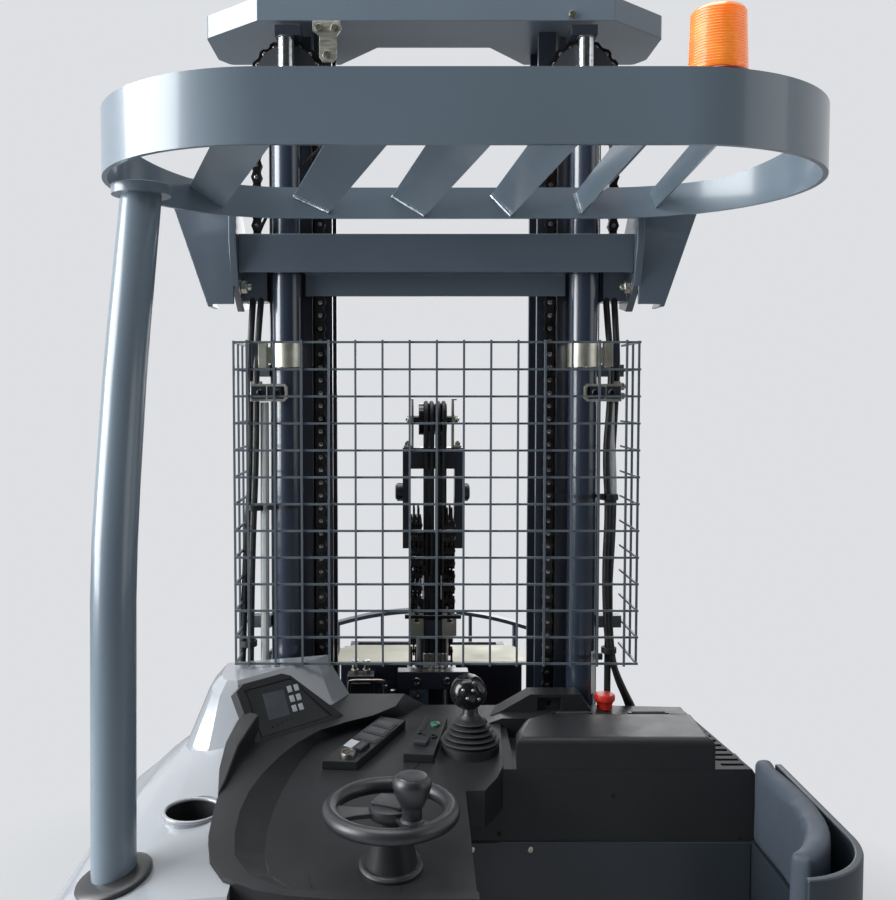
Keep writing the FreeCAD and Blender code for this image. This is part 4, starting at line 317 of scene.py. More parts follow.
@dataclass(frozen=True)
class Metal(Recipe):
    """Bare or plated metal with brushed streaks and stains."""

    stain: Colour
    roughness: float = 0.3
    streak: Point = (1.0, 1.0, 1.0)
    pitch: float = 90.0

    def dress(self, shader: Shader) -> None:
        """Adds the metal's pattern.

        Args:
            shader: New material.
        """
        tones = linear(self.colour), linear(self.stain)
        lines = shader.noise(self.pitch, 4.0, self.streak)
        shader.set(
            Base_Color=shader.ramp(shader.noise(self.pitch * 0.4, 5.0), 0.42, 0.72, *tones),
            Roughness=shader.scaled(lines, self.roughness * 0.6, self.roughness * 1.6),
            Metallic=1.0,
        )
        shader.bump(lines, 0.1, 0.0003)


@dataclass(frozen=True)
class Rubber(Recipe):
    """Dull rubber or elastomer with a bloom of dust."""

    bloom: Colour
    roughness: float = 0.7

    def dress(self, shader: Shader) -> None:
        """Adds the rubber's pattern.

        Args:
            shader: New material.
        """
        tones = linear(self.colour), linear(self.bloom)
        shader.set(
            Base_Color=shader.ramp(shader.noise(22.0, 6.0), 0.45, 0.75, *tones),
            Roughness=shader.scaled(shader.noise(60.0, 3.0), self.roughness * 0.8, self.roughness * 1.2),
        )
        shader.bump(shader.noise(420.0, 3.0), 0.2, 0.0004)


@dataclass(frozen=True)
class Lens(Recipe):
    """Translucent coloured plastic of a lamp."""

    deep: Colour

    def dress(self, shader: Shader) -> None:
        """Adds the lens's tint, its depth and its glow.

        Args:
            shader: New material.
        """
        tint = shader.noise(30.0, 3.0)
        shader.set(
            Base_Color=shader.ramp(tint, 0.3, 0.8, linear(self.deep), linear(self.colour)),
            Roughness=shader.scaled(tint, 0.12, 0.26),
            Transmission_Weight=0.35, IOR=1.49, Coat_Weight=0.5, Coat_Roughness=0.08,
            Emission_Color=linear(self.colour), Emission_Strength=0.22,
            Subsurface_Weight=0.3, Subsurface_Radius=(0.03, 0.012, 0.004), Subsurface_Scale=0.5,
        )
        shader.bump(shader.noise(150.0, 2.0), 0.1, 0.0005)


@dataclass(frozen=True)
class Glass(Recipe):
    """Dark glossy face of a screen or an indicator."""

    roughness: float = 0.12

    def dress(self, shader: Shader) -> None:
        """Adds the smears on the glass.

        Args:
            shader: New material.
        """
        smear = shader.noise(40.0, 5.0)
        shader.set(
            Base_Color=shader.ramp(smear, 0.4, 0.7, linear(self.colour, 0.85), linear(self.colour, 1.2)),
            Roughness=shader.scaled(smear, self.roughness * 0.7, self.roughness * 2.0),
            Coat_Weight=0.25, Coat_Roughness=0.1, IOR=1.5,
        )


class Finish(Enum):
    """Every finish of the truck, under the name of its material."""

    SLATE = GlossPaint("slate_gloss", (104, 117, 128))
    # Painted shade: the guard's slate paint made darker for the beam and its brackets, which get less light.
    SLATE_PAINTED_SHADE = GlossPaint("beam_slate_painted_shade", (82, 92, 103))
    MAST = GlossPaint("mast_dark_gloss", (38, 43, 54), 0.3, 0.4)
    CYLINDER = GlossPaint("cylinder_slate", (44, 53, 68), 0.22, 0.6)
    RED = GlossPaint("chassis_red", (176, 44, 28), 0.34, 0.3, 0.1)
    COVER = GlossPaint("cover_light_gloss", (152, 155, 160), 0.2, 0.6, 0.05)
    # Blue-black of the knee panel; on the right cover it is painted shade over that cover's light grey paint.
    KNEE_AND_COVER_SHADE = GlossPaint("knee_blue_black_and_cover_shade", (42, 50, 58), 0.42, 0.15)
    BLACK = MouldedPlastic("console_black", (38, 39, 41), 0.38)
    # Painted shade: a darker tone for the slopes of the console's valley, where shade falls.
    VALLEY_PAINTED_SHADE = MouldedPlastic("console_valley_painted_shade", (22, 23, 26), 0.5)
    BELLOWS = Rubber("bellows_rubber", (28, 28, 30), (44, 44, 46), 0.55)
    GRIP = MouldedPlastic("grip_soft_black", (34, 35, 38), 0.36, 1400.0, 0.0002, gloss=0.7)
    HEAD = MouldedPlastic("lever_gloss_black", (22, 22, 24), 0.16, 500.0, 0.00005, 0.4, 0.6)
    BOLSTER = MouldedPlastic("bolster_pebbled", (64, 72, 82), 0.55, 620.0, 0.0005, 0.15)
    ZINC = Metal("zinc_plate", (204, 203, 194), (150, 146, 130), pitch=120.0)
    CREAM = Metal("cream_zinc", (226, 225, 212), (196, 193, 174), 0.36, (1.0, 1.0, 6.0), 60.0)
    TOP_PLATE = Metal("carriage_top_plate", (168, 166, 152), (142, 140, 128), 0.42, (1.0, 1.0, 6.0), 14.0)
    CHROME = Metal("rod_chrome", (214, 217, 220), (170, 174, 178), 0.14, (1.0, 1.0, 0.1), 300.0)
    CHAIN = Metal("chain_oiled_steel", (78, 76, 76), (40, 36, 34), 0.3)
    RIVET = Metal("chain_rivet_steel", (188, 188, 190), (120, 116, 112), 0.24)
    SLEEVE = GlossPaint("hose_sleeve_pale", (196, 198, 196), 0.4, 0.1)
    VALVE = GlossPaint("valve_blue_grey", (56, 74, 88), 0.35, 0.3)
    CAST = GlossPaint("cast_dark", (52, 55, 60), 0.5, 0.1)
    WORN = Metal("worn_steel", (150, 148, 146), (92, 84, 76), 0.38)
    TREAD = Rubber("wheel_polyurethane", (74, 40, 26), (104, 66, 46), 0.55)
    HOSE = Rubber("hose_black", (20, 20, 22), (40, 40, 42), 0.5)
    WIRE = GlossPaint("mesh_wire_slate", (86, 94, 102), 0.4, 0.2)
    BATTERY = MouldedPlastic("battery_case", (58, 60, 62), 0.6, 300.0)
    FORK = GlossPaint("fork_black", (40, 41, 44), 0.45, 0.12, 0.3)
    AMBER = Lens("amber_lens", (255, 158, 52), (250, 118, 24))
    AMBER_BASE = Lens("amber_base", (150, 52, 12), (96, 30, 8))
    STOP = MouldedPlastic("stop_red", (206, 50, 40), 0.3, 400.0, 0.00005)
    SCREEN = Glass("display_glass", (10, 14, 20), 0.25)
    PANEL = Glass("display_panel", (58, 62, 68), 0.3)
    KEY = MouldedPlastic("key_silver", (170, 172, 176), 0.35, 600.0, 0.00005)
    LABEL = MouldedPlastic("label_white", (226, 228, 228), 0.5, 700.0, 0.00004, 0.04)
    INDICATOR = Glass("indicator_green", (30, 92, 66), 0.25)
    INLAY = MouldedPlastic("switch_grey", (46, 48, 52), 0.34, 900.0, 0.0001)
    WELD = Metal("weld_bright", (176, 182, 188), (96, 104, 112), pitch=260.0)
    SEAM = Rubber("seam_shadow", (12, 12, 13), (20, 20, 22), 0.8)


class Paintshop:
    """Builds each finish once and puts it on pieces."""

    def __init__(self) -> None:
        """Starts with no material built."""
        self._built: dict[Finish, bpy.types.Material] = {}

    def material(self, finish: Finish) -> bpy.types.Material:
        """Looks a material up and builds it on first use.

        Args:
            finish: Finish that is wanted.

        Returns:
            Its material.
        """
        if finish not in self._built:
            self._built[finish] = finish.value.build()
        return self._built[finish]

    def coat(self, piece: Piece, finish: Finish) -> None:
        """Puts one finish on a whole piece."""
        piece.data.materials.clear()
        piece.data.materials.append(self.material(finish))


# ------------------------------------------------------------------ bench


class Axis(Enum):
    """Direction in which a turned or cut piece points."""

    X = (0.0, math.pi / 2, 0.0)
    Y = (-math.pi / 2, 0.0, 0.0)
    Z = (0.0, 0.0, 0.0)


def turn(degrees: float, axis: str) -> Matrix:
    """Turn in degrees about an axis."""
    return Matrix.Rotation(math.radians(degrees), 4, axis)


def shift(x: float, y: float, z: float) -> Matrix:
    """Shift in millimetres."""
    return Matrix.Translation((x * MM, y * MM, z * MM))


def rect(left: float, right: float, low: float, high: float) -> Outline:
    """Corners of a rectangle, from its lower left round to its upper left."""
    return [(left, low), (right, low), (right, high), (left, high)]


def beside(side: int, near: float, far: float, low: float, high: float) -> Outline:
    """Corners of a rectangle on one side, from near to far from the truck's middle."""
    left, right = sorted((side * near, side * far))
    return rect(left, right, low, high)


class Bench:
    """Modelling bench: every call works on its own piece, with all else deselected."""

    RIPPLE = 3.2  # length of a weld's ripples in millimetres
    CURVE_STEPS = 6  # steps of a pipe between two of its points

    def clear(self) -> None:
        """Leaves edit mode and deselects everything."""
        if bpy.context.object is not None and bpy.context.object.mode != "OBJECT":
            bpy.ops.object.mode_set(mode="OBJECT")
        bpy.ops.object.select_all(action="DESELECT")

    def pick(self, *pieces: Piece) -> None:
        """Selects these pieces only and makes the first active.

        Args:
            pieces: Pieces to select.
        """
        self.clear()
        for piece in pieces:
            piece.select_set(True)
        bpy.context.view_layer.objects.active = pieces[0]

    def edit(self, piece: Piece, action: str = "SELECT", mode: str = "FACE") -> None:
        """Opens a piece in edit mode.

        Args:
            piece: Piece to open.
            action: SELECT for the whole mesh, DESELECT for nothing.
            mode: Selection mode: VERT, EDGE or FACE.
        """
        self.pick(piece)
        bpy.ops.object.mode_set(mode="EDIT")
        bpy.ops.mesh.select_mode(type=mode)
        bpy.ops.mesh.select_all(action=action)

    def select_faces(self, piece: Piece, test: Callable[[Vector, Vector], bool]) -> None:
        """Opens a piece with some of its faces selected.

        Args:
            piece: Piece to open.
            test: Takes the centre and the normal of a face.
        """
        self.edit(piece, "DESELECT")
        bpy.ops.object.mode_set(mode="OBJECT")
        for polygon in piece.data.polygons:
            polygon.select = test(polygon.center, polygon.normal)
        bpy.ops.object.mode_set(mode="EDIT")

    def settle(self, *pieces: Piece) -> Piece:
        """Applies the place, turn and size of pieces to their meshes.

        Args:
            pieces: Pieces to settle.

        Returns:
            The first of them.
        """
        self.pick(*pieces)
        bpy.ops.object.transform_apply(location=True, rotation=True, scale=True)
        return pieces[0]

    def put(self, piece: Piece, place: Matrix) -> Piece:
        """Moves a piece's mesh to a place."""
        piece.matrix_world = place
        return self.settle(piece)

    def copy(self, piece: Piece) -> Piece:
        """Duplicates a piece together with its mesh.

        Args:
            piece: Piece to copy.

        Returns:
            The copy.
        """
        self.pick(piece)
        bpy.ops.object.duplicate()
        return bpy.context.object

    def copy_node(self, node: str, name: str) -> Piece:
        """Copies a CAD node as a free piece with its doubles merged, open and all selected.

        Args:
            node: Node to copy.
            name: Name of the copy.

        Returns:
            The copy, in edit mode.
        """
        piece = self.copy(frame["nodes"][node])
        bpy.ops.object.parent_clear(type="CLEAR_KEEP_TRANSFORM")
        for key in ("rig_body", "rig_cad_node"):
            if key in piece:
                del piece[key]
        piece.name = name
        if piece.data.has_custom_normals:
            bpy.ops.mesh.customdata_custom_splitnormals_clear()
        self.edit(piece)
        bpy.ops.mesh.remove_doubles(threshold=DOUBLES)
        return piece

    def apply(self, piece: Piece, kind: str, **values: object) -> Piece:
        """Adds a modifier with its values and applies it.

        Args:
            piece: Piece to modify.
            kind: Type of the modifier.
            **values: Its settings.

        Returns:
            The same piece.
        """
        self.pick(piece)
        modifier = piece.modifiers.new(kind.lower(), kind)
        for name, value in values.items():
            setattr(modifier, name, value)
        bpy.ops.object.modifier_apply(modifier=modifier.name)
        return piece

    def soften(self, piece: Piece, width: float, steps: int = 2, angle: float = 32.0) -> Piece:
        """Rounds the sharp edges of a piece.

        Args:
            piece: Piece to round.
            width: Width of the bevel in millimetres.
            steps: Segments of the bevel.
            angle: Smallest angle in degrees between two faces that get it.

        Returns:
            The same piece.
        """
        limit = {"limit_method": "ANGLE", "angle_limit": math.radians(angle)}
        return self.apply(piece, "BEVEL", width=width * MM, segments=steps, **limit)

    def outward(self, piece: Piece, merge: float = 1e-6) -> Piece:
        """Merges doubles and turns every face of a piece outwards.

        Args:
            piece: Piece to mend.
            merge: Distance of doubles in metres.

        Returns:
            The same piece.
        """
        self.edit(piece)
        bpy.ops.mesh.remove_doubles(threshold=merge)
        bpy.ops.mesh.normals_make_consistent(inside=False)
        self.clear()
        return piece

    def smooth(self, piece: Piece, angle: float) -> None:
        """Shades a piece smooth, with its large faces kept flat.

        Args:
            piece: Piece to shade.
            angle: Angle in degrees between two faces up to which it is smooth.
        """
        self.pick(piece)
        bpy.ops.object.shade_smooth_by_angle(angle=math.radians(angle))
        self.apply(piece, "WEIGHTED_NORMAL", keep_sharp=True)
        self.clear()

    def turned(
        self, name: str, stations: Outline, place: Matrix = Matrix.Identity(4), sides: int = 32
    ) -> Piece:
        """Turns a round piece: a disc, extruded and resized from station to station.

        Args:
            name: Name of the piece.
            stations: Radius and height of each step, in millimetres.
            place: Turn and place of its foot.
            sides: Number of sides.

        Returns:
            The closed piece, in place.
        """
        self.clear()
        radius, height = stations[0]
        bpy.ops.mesh.primitive_circle_add(vertices=sides, radius=radius * MM, fill_type="NGON")
        piece = bpy.context.object
        piece.name = name
        self.edit(piece)
        bpy.ops.transform.translate(value=(0.0, 0.0, height * MM))
        for next_radius, next_height in stations[1:]:
            rise = (0.0, 0.0, (next_height - height) * MM)
            bpy.ops.mesh.extrude_region_move(TRANSFORM_OT_translate={"value": rise})
            if next_radius != radius:
                size = (next_radius / radius, next_radius / radius, 1.0)
                bpy.ops.transform.resize(value=size, center_override=(0.0, 0.0, next_height * MM))
            radius, height = next_radius, next_height
        return self.put(self.outward(piece), place)

    def plate(
        self, name: str, outline: Outline, depth: float, place: Matrix = Matrix.Identity(4), edge: float = 0.6
    ) -> Piece:
        """Cuts a flat plate: an outline drawn point by point, filled and extruded.

        Args:
            name: Name of the piece.
            outline: Corners of the outline in millimetres.
            depth: Thickness in millimetres.
            place: Turn and place of the outline's plane.
            edge: Rounding of its edges in millimetres.

        Returns:
            The plate, in place.
        """
        self.clear()
        bpy.ops.mesh.primitive_plane_add(size=MM)
        piece = bpy.context.object
        piece.name = name
        self.edit(piece, "DESELECT", "VERT")
        bpy.ops.object.mode_set(mode="OBJECT")
        for vertex in piece.data.vertices[1:]:
            vertex.select = True
        bpy.ops.object.mode_set(mode="EDIT")
        bpy.ops.mesh.delete(type="VERT")
        bpy.ops.mesh.select_all(action="SELECT")
        bpy.ops.transform.translate(value=((outline[0][0] + 0.5) * MM, (outline[0][1] + 0.5) * MM, 0.0))
        for before, after in zip(outline, outline[1:]):
            step = ((after[0] - before[0]) * MM, (after[1] - before[1]) * MM, 0.0)
            bpy.ops.mesh.extrude_vertices_move(TRANSFORM_OT_translate={"value": step})
        bpy.ops.mesh.select_all(action="SELECT")
        bpy.ops.mesh.edge_face_add()
        bpy.ops.mesh.extrude_region_move(TRANSFORM_OT_translate={"value": (0.0, 0.0, depth * MM)})
        self.put(self.outward(piece), place)
        return self.soften(piece, edge) if edge > 0 else piece

    def pipe(
        self, name: str, points: Sequence[Point], radius: float, sides: int = 3, taut: bool = False
    ) -> Piece:
        """Lays a round pipe, wire or clamped hose along a smooth curve.

        Args:
            name: Name of the piece.
            points: Control points in metres.
            radius: Radius in millimetres.
            sides: Resolution of its section.
            taut: Whether it keeps straight runs between its points.

        Returns:
            The pipe as a mesh with closed ends.
        """
        self.clear()
        bpy.ops.curve.primitive_nurbs_path_add()
        curve = bpy.context.object
        curve.name = name
        data = curve.data
        data.splines.clear()
        spline = data.splines.new("POLY" if taut else "NURBS")
        spline.points.add(len(points) - 1)
        for point, place in zip(spline.points, points):
            point.co = (*place, 1.0)
        if not taut:
            spline.order_u = 3
            spline.use_endpoint_u = True
        data.resolution_u = self.CURVE_STEPS
        data.bevel_depth = radius * MM
        data.bevel_resolution = sides
        data.use_fill_caps = True
        bpy.ops.object.convert(target="MESH")
        return self.outward(bpy.context.object)

    def repeat(self, piece: Piece, places: Sequence[Matrix]) -> Piece:
        """Copies a piece to several places, each copy with its own mesh, and joins them.

        Args:
            piece: Piece modelled at the origin; it makes way for its copies.
            places: Turn and place of each copy.

        Returns:
            All copies as one piece.
        """
        name = piece.name
        copies = []
        for place in places:
            copies.append(self.copy(piece))
            copies[-1].matrix_world = place
        self.clear()
        bpy.data.objects.remove(piece)
        self.settle(*copies)
        return self.joined(name, copies)

    def ring(
        self, name: str, radius: float, section: float, place: Point, steps: int = 64, sides: int = 16
    ) -> Piece:
        """Spins a round section into a ring that lies flat.

        Args:
            name: Name of the piece.
            radius: Radius of the ring's middle line in millimetres.
            section: Radius of its section in millimetres.
            place: Centre of the ring in metres.
            steps: Steps round the ring.
            sides: Sides of the section.

        Returns:
            The closed ring, in place.
        """
        self.clear()
        bpy.ops.mesh.primitive_circle_add(
            vertices=sides, radius=section * MM, location=(radius * MM, 0.0, 0.0), rotation=Axis.Y.value
        )
        piece = self.settle(bpy.context.object)
        piece.name = name
        self.edit(piece)
        bpy.ops.mesh.spin(steps=steps, angle=math.tau, center=(0.0, 0.0, 0.0), axis=(0.0, 0.0, 1.0))
        return self.put(self.outward(piece, 1e-5), Matrix.Translation(place))

    def bolt(self, name: str, size: float, head: float, stud: float = 0.0) -> Piece:
        """Models a hexagonal bolt head or nut with its washer, upright at the origin.

        Args:
            name: Name of the piece.
            size: Width across its corners in millimetres.
            head: Height of the head.
            stud: Length of thread that shows above it.

        Returns:
            The bolt.
        """
        r, top = size / 2, head + stud
        rows = [
            (name, [(r * 0.9, 1.6), (r, 2.4), (r, head), (r * 0.86, head + 1.2)], 6),
            (f"{name}_washer", [(r * 1.2, 0), (r * 1.2, 1.2), (r * 1.1, 1.6)], 20),
            (f"{name}_stud", [(r * 0.5, 0), (r * 0.5, top), (r * 0.4, top + 1)], 12),
        ]
        return self.joined(name, [self.turned(*row[:2], sides=row[2]) for row in rows[: 3 if stud else 2]])

    def bead(self, name: str, start: Point, end: Point, radius: float) -> Piece:
        """Lays a rippled weld bead between two points.

        Args:
            name: Name of the piece.
            start: First end in metres.
            end: Second end in metres.
            radius: Radius of the bead in millimetres.

        Returns:
            The bead.
        """
        line = Vector(end) - Vector(start)
        length, end_radius, valley = line.length / MM, radius * 0.5, radius * 0.78
        pitch = length / max(4, round(length / self.RIPPLE))
        feet = [pitch * ripple for ripple in range(round(length / pitch))]
        ripples = [row for foot in feet for row in ((valley, foot + 0.3), (radius, foot + pitch * 0.6))]
        stations = [(end_radius, 0.0), *ripples, (end_radius, length)]
        place = Matrix.Translation(start) @ line.to_track_quat("Z", "Y").to_matrix().to_4x4()
        return self.turned(name, stations, place, 8)

    def joined(self, name: str, pieces: Sequence[Piece]) -> Piece:
        """Joins pieces into one.

        Args:
            name: Name of the whole.
            pieces: Pieces to join.

        Returns:
            The whole.
        """
        self.pick(*pieces)
        if len(pieces) > 1:
            bpy.ops.object.join()
        whole = bpy.context.object
        whole.name = name
        return whole


class Works(Bench):
    """Bench with the truck's measures, the paint shop and the dispatch of finished pieces."""

    SPAN_SMOOTH = 40.0  # angle in degrees up to which a stretching piece is shaded smooth

    def __init__(self, rear: float) -> None:
        """Sets up the works for one truck.

        Args:
            rear: Place of the body's rear end in metres.
        """
        self.rear = rear
        self.shop = Paintshop()

    def at(self, x: float, y: float, z: float) -> Point:
        """Place in metres from millimetres across, from the rear of the body, and up."""
        return (x * MM, self.rear + y * MM, z * MM)

    def spot(self, x: float, y: float, z: float, axis: Axis = Axis.Z, spin: float = 0.0) -> Matrix:
        """Place of a copy in millimetres, with its direction and its turn about its own axis.

        Args:
            x: Millimetres across.
            y: Millimetres from the rear of the body.
            z: Height in millimetres.
            axis: Direction of the copy.
            spin: Turn in degrees about its own axis.

        Returns:
            The matrix of that place.
        """
        return Matrix.Translation(self.at(x, y, z)) @ Euler(axis.value).to_matrix().to_4x4() @ turn(spin, "Z")

    def sided(
        self, side: int, x: float, y: float, z: float, spin: float = 0.0, inward: bool = False
    ) -> Matrix:
        """Place of a copy that points away from the truck's middle on one side, or towards it.

        Args:
            side: 1 for the right side, -1 for the left one.
            x: Millimetres from the middle.
            y: Millimetres from the rear of the body.
            z: Height in millimetres.
            spin: Turn in degrees about its own axis.
            inward: Whether it points towards the middle.

        Returns:
            The matrix of that place.
        """
        return self.spot(side * x, y, z, Axis.X, spin) @ turn(180 * ((side < 0) != inward), "X")

    @staticmethod
    def deck(y: float) -> float:
        """Height of the sloping deck in millimetres at a distance from the rear."""
        return DECK_FOOT + DECK_SLOPE * y

    def on_deck(self, x: float, y: float, rise: float = 0.0, spin: float = 0.0) -> Matrix:
        """Plane that lies along the sloping deck.

        Args:
            x: Millimetres across.
            y: Millimetres from the rear of the body.
            rise: Height over the deck.
            spin: Turn in degrees on the deck.

        Returns:
            The matrix of that place.
        """
        slope = Matrix.Rotation(math.atan(DECK_SLOPE), 4, "X")
        return Matrix.Translation(self.at(x, y, self.deck(y) + rise)) @ slope @ turn(spin, "Z")

    def facing(self, x: float, y: float, z: float, swing: float = 0.0) -> Matrix:
        """Upright plane that faces the operator, swung in degrees about its own height.

        Args:
            x: Millimetres across.
            y: Millimetres from the rear of the body.
            z: Height in millimetres.
            swing: Turn about the vertical.

        Returns:
            The matrix, with X across, Y up and Z towards the operator.
        """
        return Matrix.Translation(self.at(x, y, z)) @ turn(swing, "Z") @ turn(90, "X")

    def label(self, piece: Piece, slot: str, replaces: Sequence[str]) -> None:
        """Hides the CAD nodes that a piece stands for, and reports the piece.

        Args:
            piece: Finished piece.
            slot: Material slot of the record; not used.
            replaces: CAD nodes that it stands for.
        """
        if replaces:
            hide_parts(*replaces)
        LOG.info("%s: %d faces", piece.name, len(piece.data.polygons))

    def ship(self, piece: Piece, finish: Finish, body: str = "chassis", slot: str = "black_plastic",
             angle: float = 35.0, replaces: Sequence[str] = ()) -> Piece:
        """Finishes a piece that rides on one body.

        Args:
            piece: Modelled piece.
            finish: Its finish.
            body: Body that it rides on.
            slot: Material slot of the record; not used.
            angle: Angle in degrees up to which it is shaded smooth.
            replaces: CAD nodes that it stands for.

        Returns:
            The finished piece.
        """
        self.shop.coat(piece, finish)
        self.smooth(piece, angle)
        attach(piece, body)
        self.label(piece, slot, replaces)
        return piece

    def span(self, piece: Piece, finish: Finish, bodies: tuple[str, str], heights: tuple[float, float],
             slot: str = "black_plastic", replaces: Sequence[str] = ()) -> None:
        """Finishes a piece that runs between two sliding bodies; it is baked in place and rides on neither.

        Args:
            piece: Modelled piece.
            finish: Its finish.
            bodies: Body at its start and body at its end; not used.
            heights: Heights in metres where the stretch starts and ends; not used.
            slot: Material slot of the record; not used.
            replaces: CAD nodes that it stands for.
        """
        self.shop.coat(piece, finish)
        self.smooth(piece, self.SPAN_SMOOTH)
        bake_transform(piece)
        self.label(piece, slot, replaces)

    def ship_all(self, name: str, pieces: Sequence[Piece], finish: Finish, *home: object) -> Piece:
        """Joins pieces under one name and ships them; what follows the finish goes to ship()."""
        return self.ship(self.joined(name, pieces), finish, *home)

    def ship_copies(self, piece: Piece, places: Sequence[Matrix], finish: Finish, *home: object) -> Piece:
        """Copies a piece to its places and ships them as one; what follows the finish goes to ship()."""
        return self.ship(self.repeat(piece, places), finish, *home)

    def ship_pipes(
        self, name: str, runs: Sequence[Sequence[Point]], radius: float, finish: Finish, *home: object
    ) -> Piece:
        """Lays pipes along runs in millimetres and ships them; what follows the finish goes to ship()."""
        pipes = [self.pipe(name, [self.at(*point) for point in run], radius) for run in runs]
        return self.ship_all(name, pipes, finish, *home)


@dataclass(frozen=True)
class Section:
    """One part of the truck's looks, made at the works."""

    works: Works

    def build(self) -> None:
        """Builds the section."""
        raise NotImplementedError


# ------------------------------------------------------------------ skins of the CAD nodes


NODE_FINISHES: dict[Finish, tuple[str, ...]] = {
    Finish.SLATE: ("overhead_guard", "guard_pillar", "mast_head"),
    # Brackets and tie beam: slate paint with painted shade.
    Finish.SLATE_PAINTED_SHADE: ("guard_brackets", "tie_beam"),
    Finish.RED: ("chassis_frame", "outrigger_left", "outrigger_right", "mast_foot"),
    Finish.MAST: ("outer_mast", "middle_mast", "inner_mast", "crosshead", "free_lift_cylinder",
                  "manifold_block", "reach_carriage", "fork_carriage", "outer_arms", "inner_arms",
                  "fork_frame", "load_backrest"),
    Finish.CYLINDER: ("lift_cylinders",),
    Finish.FORK: ("fork_left", "fork_right"),
    Finish.CHROME: ("lift_rods", "free_lift_rod"),
    Finish.CAST: ("chain_sheaves", "drive_unit", "caster_fork"),
    Finish.TREAD: ("drive_wheel", "caster_wheel", "load_wheel_left", "load_wheel_right"),
    Finish.BLACK: ("console_deck", "storage_lid", "display_pod", "switch_panels", "steering_column",
                   "platform_floor"),
    # The right cover gets the knee's blue-black as painted shade over its light grey paint.
    Finish.KNEE_AND_COVER_SHADE: ("knee_panel", "right_cover"),
    Finish.COVER: ("left_cover",),
    Finish.BATTERY: ("battery",),
    Finish.WIRE: ("mesh_panel", "mesh_wing_left", "mesh_wing_right"),
}
EDGES: dict[str, float] = {
    "mesh_panel": 0.0, "mesh_wing_left": 0.0, "mesh_wing_right": 0.0, "overhead_guard": 1.2,
    "outer_mast": 2.5, "middle_mast": 2.0, "inner_mast": 2.5, "storage_lid": 3.0, "console_deck": 3.0,
    "left_cover": 3.0, "right_cover": 3.0, "chassis_frame": 3.0, "display_pod": 2.5, "battery": 4.0,
}
USUAL_EDGE = 1.5
SMOOTH_UP_TO: dict[str, float] = {"console_deck": 22.0, "left_cover": 30.0}
USUAL_SMOOTH = 50.0
# Second finishes of some skins: the knee's blue-black on the chassis frame's inner wall, and painted shade
# inside the cup and on the console's valley slopes.
SECOND_FINISHES_AND_SHADE: dict[str, tuple[Finish, FaceTest]] = {
    "chassis_frame": (Finish.KNEE_AND_COVER_SHADE, lambda x, y, z, up: z > 1046 or (41 < x < 545 and y > 10 and z > 200)),
    # Painted shade inside the cup of the left cover.
    "left_cover": (Finish.SEAM, lambda x, y, z, up: math.hypot(x + 394, y - 256) < 43.5 and z < 1167),
    # Painted shade on the valley slopes of the console deck.
    "console_deck": (
        Finish.VALLEY_PAINTED_SHADE, lambda x, y, z, up: x < 0 and 0.1 < up < 0.97 and 1129 < z - 0.134 * y < 1149.5
    ),
}


@dataclass(frozen=True)
class Skins(Section):
    """Skins over the CAD nodes, welded and bevelled, so that each edge catches light as worked metal does."""

    flatten: float = 0.4

    def skin(self, node: str, finish: Finish) -> Piece:
        """Makes and ships the skin of one node.

        Args:
            node: Node under the skin.
            finish: Its finish.

        Returns:
            The skin.
        """
        works, name, edge = self.works, f"{node}_skin", EDGES.get(node, USUAL_EDGE)
        skin = works.copy_node(node, name)
        bpy.ops.mesh.dissolve_limited(angle_limit=math.radians(self.flatten))
        works.clear()
        if edge > 0:
            works.edit(skin)
            bpy.ops.mesh.separate(type="LOOSE")
            bpy.ops.object.mode_set(mode="OBJECT")
            parts = list(bpy.context.selected_objects)
            skin = works.joined(name, [works.soften(part, edge) for part in parts])
        angle = SMOOTH_UP_TO.get(node, USUAL_SMOOTH)
        return works.ship(skin, finish, BODY_OF[node], SLOT_OF[node], angle, (node,))

    def repaint(self, skin: Piece, finish: Finish, test: FaceTest) -> None:
        """Gives a second finish to some faces of a skin: a second colour, and on some skins a painted shade.

        Args:
            skin: Skin to repaint.
            finish: Second finish.
            test: Takes a face's place in millimetres across, from the rear of the body and up, and its
                normal's rise.
        """
        skin.data.materials.append(self.works.shop.material(finish))
        for polygon in skin.data.polygons:
            x, y, z = polygon.center
            if test(x / MM, (y - self.works.rear) / MM, z / MM, polygon.normal.z):
                polygon.material_index = 1

    def build(self) -> None:
        """Makes the skins of all nodes with a finish."""
        for finish, nodes in NODE_FINISHES.items():
            for node in nodes:
                skin = self.skin(node, finish)
                if node in SECOND_FINISHES_AND_SHADE:
                    self.repaint(skin, *SECOND_FINISHES_AND_SHADE[node])


# ------------------------------------------------------------------ chains of the mast


